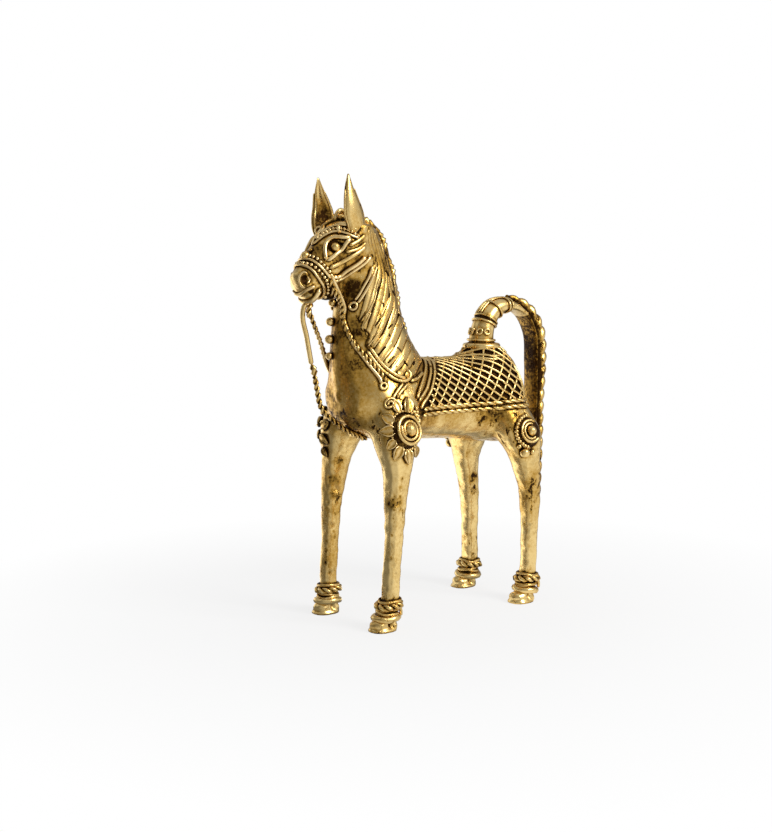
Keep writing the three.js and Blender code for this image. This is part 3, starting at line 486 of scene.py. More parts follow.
@dataclass
class CastSkin:
    """The smooth cast skin of trunk, neck, head and legs, before any thread is laid on it."""

    pitch: float = 0.6
    box: tuple[Point, Point] = ((-28.0, -70.0, 2.0), (28.0, 50.0, 164.0))
    smoothing: int = 12
    face_slope: float = 33.0
    neck_front: float = -46.5
    softness: float = 1.7
    jaw_fillet: float = 4.0
    tail_fillet: float = 4.0
    lump_fillet: float = 2.6
    chin: Lump = Lump((0.0, -50.6, 131.6), (4.2, 5.0, 4.2))
    forehead: Lump = Lump((0.0, -43.4, 155.4), (3.8, 3.6, 3.0))
    ear_root: Lump = Lump((6.2, -39.4, 154.0), (3.4, 4.6, 3.8))
    nostril: Lump = Lump((5.0, -63.8, 135.4), (1.8, 2.6, 1.7))
    nostril_edge: float = 0.6
    socket: Lump = Lump((8.2, -51.2, 147.6), (2.0, 3.4, 2.3))
    socket_edge: float = 0.8
    waves: Rows = ((9.0, 1.0), (3.6, 0.6), (1.7, 0.22))
    unevenness: float = 0.24
    dent: float = 0.50
    scars: Rows = (
        (-13.1, -35.6, 61.5, 1.2), (-13.4, -36.0, 59.6, 1.0), (-12.5, -35.0, 64.0, 1.1),
        (-15.5, -38.5, 56.0, 1.2), (-15.7, -38.7, 53.8, 1.0), (-14.1, -37.2, 53.6, 1.3),
        (-13.7, -35.8, 54.4, 1.2), (-14.0, -36.6, 51.4, 1.4), (-13.8, -35.1, 50.7, 1.2),
        (-14.9, -38.3, 49.8, 1.1), (-16.0, -39.2, 45.9, 1.0), (-14.1, -35.9, 45.8, 1.1),
        (-14.4, -35.7, 40.8, 1.0), (-16.0, -39.2, 42.6, 0.9), (-16.9, -39.6, 37.1, 0.8),
        (-14.7, -37.5, 36.3, 1.0), (-14.7, -36.9, 33.8, 0.9), (-16.6, -39.5, 29.9, 0.8),
        (-14.7, -36.2, 27.1, 1.0), (-16.8, -39.8, 21.1, 0.9), (-15.2, -38.6, 16.8, 0.9),
        (19.0, -35.7, 49.7, 1.3), (22.4, -32.7, 49.6, 1.3), (21.6, -34.7, 52.8, 0.8),
        (21.2, -35.0, 51.5, 0.8), (22.7, -32.2, 52.5, 0.9), (22.9, -32.1, 56.1, 1.0),
        (23.2, -31.3, 59.4, 0.9), (20.3, -35.3, 48.6, 0.9), (22.4, -32.0, 47.2, 0.8),
        (20.7, -35.2, 37.4, 0.8), (22.0, -33.3, 38.4, 0.7), (21.4, -34.5, 25.4, 0.8),
        (20.6, -35.5, 28.5, 0.7), (21.6, -33.6, 22.1, 0.7), (21.8, 37.6, 56.0, 1.0),
        (22.0, 39.4, 50.5, 0.9), (20.4, 37.0, 45.2, 0.9), (21.6, 39.0, 34.0, 0.8), (-14.6, 38.4, 50.0, 1.4),
        (-15.2, 37.6, 47.4, 1.2), (-14.4, 39.6, 44.6, 1.0), (-15.4, 37.2, 57.0, 1.0),
        (-14.8, 38.8, 31.0, 0.9),
    )
    trunk_rows: Rows = (
        (-42.0, 98.5, 80.5, 11.9), (-36.0, 101.8, 75.5, 15.8), (-25.0, 103.5, 71.9, 17.0),
        (-4.0, 103.0, 70.9, 13.8), (14.0, 102.6, 69.5, 13.8), (30.5, 105.4, 67.5, 15.2),
        (39.5, 102.4, 68.5, 14.6), (44.0, 97.0, 75.5, 10.9),
    )
    neck_rows: Rows = (
        (80.0, 6.0, 36.0, 11.0), (92.0, 1.2, 38.6, 13.9), (104.0, 0.0, 38.4, 13.6), (112.35, 0.0, 33.6, 12.2),
        (123.35, 0.8, 28.9, 10.5), (134.9, 1.8, 26.9, 9.1), (147.0, 1.6, 22.2, 8.0), (154.15, 0.6, 18.8, 7.4),
    )
    head_rows: Rows = (
        (-61.4, 132.8, 5.95, 6.5), (-56.5, 137.4, 6.5, 7.3), (-51.3, 141.8, 7.8, 8.6),
        (-45.6, 145.7, 9.7, 10.0), (-40.4, 148.4, 9.4, 10.2), (-35.0, 150.2, 6.8, 8.6),
    )
    tail_root_rows: Rows = (
        (92.0, 0.0, 31.0, 12.0, 11.0), (100.0, 0.0, 30.8, 10.6, 10.0), (106.0, 0.0, 30.5, 7.0, 7.0),
    )

    def trunk(self) -> Stack:
        """Gives the trunk, from chest to rump."""
        rows = tuple(
            (y, 0.0, (top + low) / 2, half, (top - low) / 2) for y, top, low, half in self.trunk_rows
        )
        return Stack(rows, axis=(0, 1, 0), depth=(0, 0, 1), domes=(3.0, 2.5), corner=2.15)

    def neck(self) -> Stack:
        """Gives the neck, up to the poll."""
        front = self.neck_front
        rows = tuple((z, 0.0, front + (a + b) / 2, half, (b - a) / 2) for z, a, b, half in self.neck_rows)
        return Stack(rows, domes=(4.0, 2.5))

    def head(self) -> Stack:
        """Gives the head, from the muzzle to the back of the skull."""
        c, s = math.cos(math.radians(self.face_slope)), math.sin(math.radians(self.face_slope))
        rows = tuple((y * c + z * s, 0.0, z * c - y * s, half, deep) for y, z, half, deep in self.head_rows)
        return Stack(rows, axis=(0, c, s), depth=(0, -s, c), domes=(3.2, 4.0), corner=2.1)

    def leg(self, limb: Limb) -> Stack:
        """Gives a leg, a little squared as the real ones are, with its top leaning into the trunk."""
        ankle, toe, (back, top) = limb.ankle, limb.toe, limb.root
        foot, knee = 5.5, limb.ankle + limb.lean
        height = top - foot
        lean_in = 2.0 if back < 0 else -3.0
        parts = (
            (4.0, 0.0, ankle - toe, 3.2, 3.2),
            (12.5, 0.0, ankle - toe * 0.12, 3.2, 3.25),
            (foot + height * 0.25, 0.0, ankle + limb.lean * 0.4, 3.1, 3.2),
            (foot + height * 0.52, 0.0, knee, 3.8, 3.9),
            (foot + height * 0.75, 0.4, (knee + back) / 2, 5.1, 5.8),
            (top - 4.0, 3.6, back, 7.8, 9.2),
            (top + 5.0, 6.4, back + lean_in, 6.6, 7.4),
            (top + 12.0, 8.4, back + lean_in * 2, 3.4, 4.0),
        )
        sign = SIDES[limb.side]
        rows = tuple((z, sign * (STANCE - inward), y, wide, deep) for z, inward, y, wide, deep in parts)
        return Stack(rows, domes=(0.5, 4.0), corner=3.0)

    def sculpt(self) -> Ground:
        """Joins the forms with fillets, presses the eyes and nostrils in, and meshes the skin.

        Returns:
            The finished skin, ready to carry ornaments.
        """
        space = VoxelSpace(*self.box, self.pitch)
        forms = [self.trunk(), self.neck(), *(self.leg(limb) for limb in LIMBS)]
        skin = blended([form.distance(space) for form in forms], self.softness)
        tail_root = Stack(self.tail_root_rows, domes=(2.0, 0.6))
        steps = [(merged, self.head(), self.jaw_fillet), (merged, tail_root, self.tail_fillet)]
        lumps = (self.chin, self.forehead, *(self.ear_root.on(sign) for sign in SIDES.values()))
        steps += [(merged, lump, self.lump_fillet) for lump in lumps]
        for sign in SIDES.values():
            steps.append((carved, self.nostril.on(sign), self.nostril_edge))
            steps.append((carved, self.socket.on(sign), self.socket_edge))
        for join, form, fillet in steps:
            skin = join(skin, form.distance(space), fillet)
        body = space.surface(skin).relaxed(self.smoothing)
        swell = np.array(
            [sum(share * noise.noise(Vector(p) / size) for size, share in self.waves) for p in body.points]
        )
        swell *= self.unevenness * (1.9 - 0.9 * eased(58.0, 82.0, body.points[:, 2]))
        for *centre, reach in self.scars:
            off = np.linalg.norm(body.points - centre, axis=1) / reach
            swell -= self.dent * reach * np.exp(-off * off)
        return Ground(Body(body.points + body.normals() * swell[:, None], body.faces))


class Tree:
    """Adds nodes to a node tree and links them."""

    def __init__(self, tree: bpy.types.NodeTree) -> None:
        """Takes the tree to add to."""
        self.tree = tree

    @classmethod
    def grouped(cls, name: str, kind: str, inputs: dict[str, str], outputs: dict[str, str]) -> "Tree":
        """Starts a node group.

        Args:
            name: the group's name.
            kind: Geometry or Shader.
            inputs: the kind of each input socket, by its name.
            outputs: the same for the output sockets.

        Returns:
            The group's tree.
        """
        made = bpy.data.node_groups.new(name, f"{kind}NodeTree")
        for way, sockets in (("INPUT", inputs), ("OUTPUT", outputs)):
            for socket, sort in sockets.items():
                made.interface.new_socket(socket, in_out=way, socket_type=f"NodeSocket{sort}")
        return cls(made)

    @classmethod
    def cleared(cls, owner: bpy.types.Material | bpy.types.World) -> "Tree":
        """Gives the emptied shader nodes of a material or a world."""
        owner.use_nodes = True
        owner.node_tree.nodes.clear()
        return cls(owner.node_tree)

    def add(self, kind: str, *values: object, **settings: object) -> bpy.types.Node:
        """Adds a node.

        Args:
            kind: the node's type name.
            values: a socket to link, a value to set or None to leave, for each input in turn.
            settings: properties of the node, or of inputs by name when a value is a dict called inputs.

        Returns:
            The new node.
        """
        node = self.tree.nodes.new(kind)
        named = settings.pop("inputs", {})
        for key, value in settings.items():
            setattr(node, key, value)
        for key, value in [*enumerate(values), *named.items()]:
            if isinstance(value, Socket):
                self.tree.links.new(value, node.inputs[key])
            elif value is not None:
                node.inputs[key].default_value = value
        return node

    def math(self, operation: str, *values: object) -> Socket:
        """Adds a Math node and gives its output."""
        return self.add("ShaderNodeMath", *values, operation=operation).outputs[0]

    def vector(self, operation: str, *values: object, out: str = "Vector", **settings: object) -> Socket:
        """Adds a Vector Math node and gives the output that is asked for."""
        return self.add("ShaderNodeVectorMath", *values, operation=operation, **settings).outputs[out]

    def noise(self, place: Socket, scale: float, detail: float, rough: float = 0.5) -> Socket:
        """Adds a noise texture and gives its value."""
        inputs = {"Scale": scale, "Detail": detail, "Roughness": rough}
        return self.add("ShaderNodeTexNoise", place, inputs=inputs).outputs[0]

    def ramp(self, value: object, *ends: float, smooth: bool = False) -> Socket:
        """Maps a value from the first two ends to the other two, or to 0 and 1 where they aren't given."""
        kind = "SMOOTHSTEP" if smooth else "LINEAR"
        ends = ends if len(ends) == 4 else (*ends, 0.0, 1.0)
        return self.add("ShaderNodeMapRange", value, *ends, interpolation_type=kind).outputs[0]

    def tint(self, share: object, first: object, second: object) -> Socket:
        """Mixes two colours by a share."""
        return self.add("ShaderNodeMix", data_type="RGBA", inputs={0: share, 6: first, 7: second}).outputs[2]

    def marked(self, name: str, kind: str = "FLOAT_VECTOR") -> Socket:
        """Reads what a mesh's points carry under a name."""
        return self.add("GeometryNodeInputNamedAttribute", name, data_type=kind).outputs[0]

    def mark(self, mesh: object, name: str, value: object, kind: str = "FLOAT_VECTOR") -> Socket:
        """Makes the points of a geometry carry a value under a name."""
        settings = {"data_type": kind, "domain": "POINT"}
        return self.add("GeometryNodeStoreNamedAttribute", mesh, None, name, value, **settings).outputs[0]

    def close(self, geometry: object, material: object) -> bpy.types.GeometryNodeTree:
        """Ends a geometry tree: smooth shading, instances made real and the material set."""
        smooth = self.add("GeometryNodeSetShadeSmooth", geometry).outputs[0]
        whole = self.add("GeometryNodeRealizeInstances", smooth).outputs[0]
        self.add("NodeGroupOutput", self.add("GeometryNodeSetMaterial", whole, None, material).outputs[0])
        return self.tree


@cache
def aged_metal() -> bpy.types.ShaderNodeTree:
    """Gives the node group that ages brass, built once."""
    inputs = {"Recess": "Float", "Pitting": "Float", "Clean": "Color", "Warm": "Color", "Patina": "Color"}
    outputs = {"Color": "Color", "Roughness": "Float", "Metallic": "Float", "Height": "Float"}
    tree = Tree.grouped("aged_metal", "Shader", inputs, outputs)
    given = tree.add("NodeGroupInput").outputs
    place = tree.add("ShaderNodeTexCoord").outputs["Object"]
    blotch = tree.noise(place, 120.0, 4.0, 0.6)
    grain = tree.noise(place, 900.0, 3.0, 0.65)
    stain = tree.noise(tree.vector("MULTIPLY", place, (1.0, 1.0, 0.6)), 330.0, 6.0, 0.72)
    spread = tree.noise(place, 55.0, 2.0)
    pit = tree.math("MULTIPLY", tree.ramp(stain, 0.54, 0.66), tree.ramp(spread, 0.38, 0.60))
    pit = tree.math("MULTIPLY", pit, given["Pitting"])
    rough_edge = tree.math("MULTIPLY_ADD", grain, 0.9, -0.45)
    tint_edge = tree.math("MULTIPLY_ADD", blotch, 0.8, -0.40)
    patches = tree.math("MULTIPLY_ADD", spread, 0.6, -0.30)
    edges = tree.math("ADD", rough_edge, tree.math("ADD", tint_edge, patches))
    depth = tree.math("ADD", tree.math("ADD", given["Recess"], edges), pit)
    mask = tree.ramp(depth, 0.42, 0.90, smooth=True)
    tinge = tree.ramp(depth, -0.10, 0.50)
    colour = tree.tint(mask, tree.tint(tinge, given["Clean"], given["Warm"]), given["Patina"])
    rough = tree.math("ADD", tree.ramp(mask, 0.0, 1.0, 0.24, 0.52), tree.math("MULTIPLY", tinge, 0.08))
    rough = tree.math("ADD", rough, tree.math("MULTIPLY_ADD", grain, 0.16, -0.08))
    metallic = tree.ramp(mask, 0.0, 1.0, 1.0, 0.95)
    height = tree.math("SUBTRACT", tree.math("MULTIPLY", grain, 0.22), pit)
    height = tree.math("ADD", height, tree.math("MULTIPLY", blotch, 0.5))
    tree.add("NodeGroupOutput", colour, rough, metallic, height)
    return tree.tree


class MetalTone(Enum):
    """The two brasses of the casting: worn bright, and the dark ground of a net."""

    BRIGHT = "brass"
    DARK = "dark_brass"


@dataclass(frozen=True)
class AgedBrass:
    """A brass finish: clean metal on what stands proud and brown-black patina in what lies deep."""

    name: str
    tone: MetalTone = MetalTone.BRIGHT
    clean: Point = (0.83, 0.605, 0.25)
    warm: Point = (0.50, 0.282, 0.050)
    patina: Point = (0.034, 0.013, 0.0018)
    depth_bias: float = 0.0
    pitting: float = 1.0
    bump_distance: float = 0.00016
    bump_strength: float = 0.6

    @cache
    def material(self) -> bpy.types.Material:
        """Gives the finish as a material, built once."""
        made = bpy.data.materials.new(self.name)
        tree = Tree.cleared(made)
        recess = tree.add("ShaderNodeAttribute", attribute_name="recess").outputs["Fac"]
        if self.depth_bias:
            recess = tree.math("ADD", recess, self.depth_bias)
        colours = {"Clean": self.clean, "Warm": self.warm, "Patina": self.patina}
        inputs = {socket: (*colour, 1.0) for socket, colour in colours.items()}
        inputs |= {"Recess": recess, "Pitting": self.pitting}
        aged = tree.add("ShaderNodeGroup", node_tree=aged_metal(), inputs=inputs).outputs
        relief = {"Height": aged["Height"], "Distance": self.bump_distance, "Strength": self.bump_strength}
        normal = tree.add("ShaderNodeBump", inputs=relief).outputs[0]
        looks = {"Base Color": aged["Color"], "Roughness": aged["Roughness"], "Metallic": aged["Metallic"]}
        shader = tree.add("ShaderNodeBsdfPrincipled", inputs={**looks, "Normal": normal})
        tree.add("ShaderNodeOutputMaterial", shader.outputs[0])
        return made


WORN_BRASS = AgedBrass("worn_brass")
SATIN_BRASS = AgedBrass("satin_brass", pitting=0.3)
POLISHED = AgedBrass("rubbed_brass", clean=(0.90, 0.68, 0.33), pitting=0.15, depth_bias=-0.03)
LOCKS = AgedBrass("mane_brass", pitting=0.5, depth_bias=0.13)
NET_GROUND = AgedBrass("net_ground", MetalTone.DARK, depth_bias=0.25)
GROOVE = AgedBrass("groove", MetalTone.DARK, depth_bias=0.85, pitting=0.0)


class Lay(Enum):
    """How a thread's strands lie, by the number of its strands."""

    SINGLE = 1
    TWISTED = 2
    PLAITED = 3


@cache
def thread_tree(lay: Lay) -> bpy.types.GeometryNodeTree:
    """Gives the node tree that turns lines into threads of a lay, built once.

    Args:
        lay: how the strands lie.

    Returns:
        A tree whose inputs are the lines and the thread's pitch, spread, strand share, flatness and sides.
    """
    numbers = dict.fromkeys(("Pitch", "Spread", "Share", "Flatness"), "Float")
    inputs = {"Lines": "Geometry", **numbers, "Sides": "Int", "Material": "Material"}
    tree = Tree.grouped(f"thread_{lay.name.lower()}", "Geometry", inputs, {"Threads": "Geometry"})
    given = tree.add("NodeGroupInput").outputs
    thick, up = tree.marked("thick", "FLOAT"), tree.marked("up")
    place = tree.add("GeometryNodeInputPosition").outputs[0]
    curve = tree.mark(tree.add("GeometryNodeMeshToCurve", given["Lines"]).outputs[0], "axis", place)
    ring = tree.add("GeometryNodeCurvePrimitiveCircle", given["Sides"], inputs={"Radius": 1.0}).outputs[0]
    oval = tree.add("ShaderNodeCombineXYZ", given["Flatness"], 1.0, 1.0).outputs[0]
    ring = tree.add("GeometryNodeTransform", inputs={"Geometry": ring, "Scale": oval}).outputs[0]
    side = tree.vector("CROSS_PRODUCT", tree.add("GeometryNodeInputTangent").outputs[0], up)
    length = tree.add("GeometryNodeSplineParameter").outputs["Length"]
    turn = tree.math("MULTIPLY", tree.math("DIVIDE", length, given["Pitch"]), math.tau)
    reach = tree.math("MULTIPLY", thick, given["Spread"])
    strand_radius = tree.math("MULTIPLY", thick, given["Share"])
    joined = tree.add("GeometryNodeJoinGeometry")
    for strand in range(lay.value):
        moved = curve
        if lay is not Lay.SINGLE:
            phase = tree.math("ADD", turn, math.tau * strand / lay.value)
            aside = tree.math("MULTIPLY", reach, tree.math("SINE", phase))
            if lay is Lay.TWISTED:
                rise = tree.math("MULTIPLY", reach, tree.math("COSINE", phase))
            else:
                double = tree.math("SINE", tree.math("MULTIPLY", phase, 2.0))
                rise = tree.math("MULTIPLY", tree.math("MULTIPLY", reach, 0.45), double)
            sideways = tree.vector("SCALE", side, inputs={"Scale": aside})
            upwards = tree.vector("SCALE", up, inputs={"Scale": rise})
            shift = tree.vector("ADD", sideways, upwards)
            moved = tree.add("GeometryNodeSetPosition", curve, inputs={"Offset": shift}).outputs[0]
        moved = tree.add("GeometryNodeSetCurveNormal", moved, None, up, mode="FREE").outputs[0]
        tube = tree.add("GeometryNodeCurveToMesh", moved, ring, strand_radius, True).outputs[0]
        tree.tree.links.new(tube, joined.inputs[0])
    off = tree.vector("DISTANCE", place, tree.marked("axis"), out="Value")
    proud = tree.math("DIVIDE", off, thick)
    return tree.close(tree.mark(joined.outputs[0], "proud", proud, "FLOAT"), given["Material"])


@cache
def scatter_tree() -> bpy.types.GeometryNodeTree:
    """Gives the node tree that sets a copy of a pattern on each point, built once."""
    inputs = {"Places": "Geometry", "Pattern": "Object", "Material": "Material"}
    tree = Tree.grouped("scatter", "Geometry", inputs, {"Copies": "Geometry"})
    given = tree.add("NodeGroupInput").outputs
    ways = {"primary_axis": "Z", "secondary_axis": "X"}
    turn = tree.add("FunctionNodeAxesToRotation", tree.marked("up"), tree.marked("ahead"), **ways).outputs[0]
    pattern = tree.add("GeometryNodeObjectInfo", given["Pattern"]).outputs["Geometry"]
    set_as = {"Instance": pattern, "Rotation": turn, "Scale": tree.marked("thick", "FLOAT")}
    copies = tree.add("GeometryNodeInstanceOnPoints", given["Places"], inputs=set_as).outputs[0]
    return tree.close(copies, given["Material"])


def grown(lines: Mesh, tree: bpy.types.GeometryNodeTree, values: dict[str, object]) -> Mesh:
    """Runs a node tree on a mesh and gives the result as a plain mesh.

    Args:
        lines: the mesh that the tree starts from.
        tree: the tree.
        values: the tree's inputs by name.

    Returns:
        The new mesh.
    """
    carrier = bpy.data.objects.new("carrier", lines)
    bpy.context.scene.collection.objects.link(carrier)
    modifier = carrier.modifiers.new("grow", "NODES")
    modifier.node_group = tree
    for item in tree.interface.items_tree:
        if item.item_type == "SOCKET" and item.in_out == "INPUT" and item.name in values:
            modifier[item.identifier] = values[item.name]
    graph = bpy.context.evaluated_depsgraph_get()
    made = bpy.data.meshes.new_from_object(carrier.evaluated_get(graph))
    bpy.data.objects.remove(carrier)
    bpy.data.meshes.remove(lines)
    return made


def mark(mesh: Mesh, name: str, values: np.ndarray) -> None:
    """Makes a mesh's points carry a number or a vector each, under a name."""
    flat = values.ndim == 1
    made = mesh.attributes.new(name, "FLOAT" if flat else "FLOAT_VECTOR", "POINT")
    made.data.foreach_set("value" if flat else "vector", values.astype(np.float32).ravel())


def marked(points: np.ndarray, edges: np.ndarray, marks: dict[str, np.ndarray]) -> Mesh:
    """Gives a mesh of points in millimetres and edges, with what its points carry by name."""
    mesh = bpy.data.meshes.new("lines")
    mesh.from_pydata(to_frame(points).tolist(), edges.tolist(), [])
    for name, values in marks.items():
        mark(mesh, name, values)
    return mesh


def read(mesh: Mesh, name: str) -> np.ndarray:
    """Gives the numbers that a mesh carries on its points."""
    values = np.zeros(len(mesh.vertices), np.float32)
    mesh.attributes[name].data.foreach_get("value", values)
    return values.astype(float)


def places_of(mesh: Mesh) -> np.ndarray:
    """Gives a mesh's points in millimetres in the horse's frame."""
    points = np.empty(len(mesh.vertices) * 3, np.float32)
    mesh.vertices.foreach_get("co", points)
    return points.reshape(-1, 3) / MM - STANCE_OFFSET


def faced(name: str, points: np.ndarray, faces: np.ndarray) -> Mesh:
    """Gives a mesh of points in metres, with a triangle where a quad repeats a corner."""
    mesh = bpy.data.meshes.new(name)
    mesh.from_pydata(points.tolist(), [], [list(dict.fromkeys(face)) for face in faces.tolist()])
    return mesh


def placed(name: str, data: bpy.types.ID) -> bpy.types.Object:
    """Adds an object to the scene."""
    made = bpy.data.objects.new(name, data)
    bpy.context.scene.collection.objects.link(made)
    return made


@dataclass
class Casting:
    """Makes the finished pieces and hands each one to the frame."""

    pieces: list[bpy.types.Object] = field(default_factory=list)
    patterns: dict[str, bpy.types.Object] = field(default_factory=dict)
    groove_reach: float = 2.5
    groove: tuple[float, float] = (0.08, 0.72)
    strand_groove: tuple[float, float] = (0.62, 0.98)
    strand_depth: float = 0.9
    bare_span: tuple[float, float] = (-6.0, 5.0)
    bare_share: float = 0.8
    bead_groove: tuple[float, float] = (0.05, 0.8)

    def adopt(
        self, name: str, mesh: Mesh, recess: np.ndarray, stands_for: tuple[str, ...] = ()
    ) -> None:
        """Turns a mesh in the part's frame into a finished piece.

        Args:
            name: the piece's name.
            mesh: its mesh, which already has its material.
            recess: how deep each point lies, from 0 on the highest wear to 1 in the deepest groove.
            stands_for: the part's nodes that it replaces, or nothing to replace the node of the same name.
        """
        spent = {"thick", "up", "ahead", "axis", "proud", "recess"}
        for old in [attribute.name for attribute in mesh.attributes if attribute.name in spent]:
            mesh.attributes.remove(mesh.attributes[old])
        mark(mesh, "recess", recess)
        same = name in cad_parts
        mesh.name = label = f"{name}_cast" if same else name
        made = placed(label, mesh)
        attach(made, "root")
        if stands_for or same:
            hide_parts(*(stands_for or (name,)))
        self.pieces.append(made)
        LOG.info("%s: %d faces", name, len(mesh.polygons))

    def piece(
        self, name: str, body: Body, recess: np.ndarray, finish: AgedBrass, stands_for: tuple[str, ...] = ()
    ) -> None:
        """Turns a body in millimetres into a finished piece, as adopt does with a mesh."""
        mesh = faced(name, to_frame(body.points), body.faces)
        mesh.polygons.foreach_set("use_smooth", np.ones(len(mesh.polygons), bool))
        mesh.materials.append(finish.material())
        mesh.update()
        self.adopt(name, mesh, recess, stands_for)

    def spin(
        self,
        name: str,
        threads: list[Thread],
        ground: Ground | None,
        lay: Lay = Lay.SINGLE,
        finish: AgedBrass = WORN_BRASS,
        pitch: float = 4.0,
        spread: float = 0.5,
        share: float = 0.52,
        flatness: float = 1.0,
        sides: int = 8,
        bare_from: float | None = None,
    ) -> None:
        """Makes one piece of several threads.

        Args:
            name: the piece's name.
            threads: the threads.
            ground: what they lie on, for the patina in the angle beside them, or None.
            lay: how their strands lie.
            finish: their brass.
            pitch: the length of a full twist.
            spread: how far the strands' middles stand off the thread's, as a share of its radius.
            share: a strand's radius as a share of the thread's.
            flatness: a strand's height as a share of its width.
            sides: the sides of a strand.
            bare_from: the height above which the patina between the threads thins out, or None.
        """
        edges, first = [], 0
        for thread in threads:
            index = np.arange(first, first + len(thread.line))
            pairs = np.column_stack([index, np.roll(index, -1)])
            edges.append(pairs if thread.closed else pairs[:-1])
            first += len(index)
        radii = np.concatenate([t.radius for t in threads])
        marks = {"thick": radii * MM, "up": np.vstack([t.up for t in threads])}
        lines = marked(np.vstack([t.line for t in threads]), np.vstack(edges), marks)
        single = lay is Lay.SINGLE
        values = {"Pitch": pitch * MM, "Spread": spread, "Share": 1.0 if single else share}
        values |= {"Flatness": flatness, "Sides": sides, "Material": finish.material()}
        mesh = grown(lines, thread_tree(lay), values)
        points = places_of(mesh)
        recess = np.zeros(len(points))
        if ground:
            heights = ground.heights(points, float(radii.max()) * self.groove_reach)
            recess = 1 - eased(*self.groove, heights / max(float(np.percentile(heights, 97)), 0.1))
        if not single:
            shown = eased(*self.strand_groove, read(mesh, "proud"))
            recess = np.maximum(recess, self.strand_depth * (1 - shown))
        if bare_from is not None:
            low, high = (bare_from + span for span in self.bare_span)
            recess *= 1 - self.bare_share * eased(low, high, points[:, 2])
        self.adopt(name, mesh, recess)

    def scatter(
        self,
        name: str,
        pattern: str,
        places: np.ndarray,
        up: np.ndarray | Point,
        sizes: np.ndarray | float,
        ground: Ground | None,
        ahead: np.ndarray | None = None,
        finish: AgedBrass = WORN_BRASS,
    ) -> None:
        """Makes one piece of copies of a pattern.

        Args:
            name: the piece's name.
            pattern: the pattern's name, as pattern() was told.
            places: the middle of each copy.
            up: each copy's way up.
            sizes: each copy's size, which multiplies the pattern.
            ground: what they lie on, or None.
            ahead: each copy's way ahead, or None where the pattern is round.
            finish: their brass.
        """
        places = np.asarray(places, float)
        up = np.broadcast_to(np.asarray(up, float), places.shape)
        ahead = np.cross(up, [0.31, 0.27, 0.91]) if ahead is None else np.asarray(ahead, float)
        sizes = np.broadcast_to(np.asarray(sizes, float), (len(places),))
        points = marked(places, np.zeros((0, 2), int), {"thick": sizes, "up": up, "ahead": ahead})
        values = {"Pattern": self.patterns[pattern], "Material": finish.material()}
        mesh = grown(points, scatter_tree(), values)
        corners = places_of(mesh)
        recess = read(mesh, "recess") if "recess" in mesh.attributes else np.zeros(len(corners))
        if ground:
            reach = float(sizes.max())
            off = ground.heights(corners, reach * 2) / reach
            recess = np.maximum(recess, 1 - eased(*self.bead_groove, off))
        self.adopt(name, mesh, recess)

    def pattern(self, name: str, body: Body, recess: np.ndarray | None = None) -> None:
        """Keeps a body as a pattern for scatter(), in millimetres about its own middle."""
        mesh = faced(f"pattern_{name}", body.points * MM, body.faces)
        if recess is not None:
            mark(mesh, "recess", recess)
        self.patterns[name] = bpy.data.objects.new(mesh.name, mesh)

    def cover(self) -> Ground:
        """Gives the surface of every piece made so far, in millimetres."""
        points, faces, first = [], [], 0
        for mesh in (made.data for made in self.pieces):
            mesh.calc_loop_triangles()
            corners = np.empty(len(mesh.loop_triangles) * 3, np.int32)
            mesh.loop_triangles.foreach_get("vertices", corners)
            points.append(places_of(mesh))
            faces.append(corners.reshape(-1, 3) + first)
            first += len(mesh.vertices)
        return Ground(Body(np.vstack(points), np.vstack(faces)))

    def clear_patterns(self) -> None:
        """Removes the patterns once every copy is made."""
        for pattern in self.patterns.values():
            mesh = pattern.data
            bpy.data.objects.remove(pattern)
            bpy.data.meshes.remove(mesh)
        self.patterns.clear()


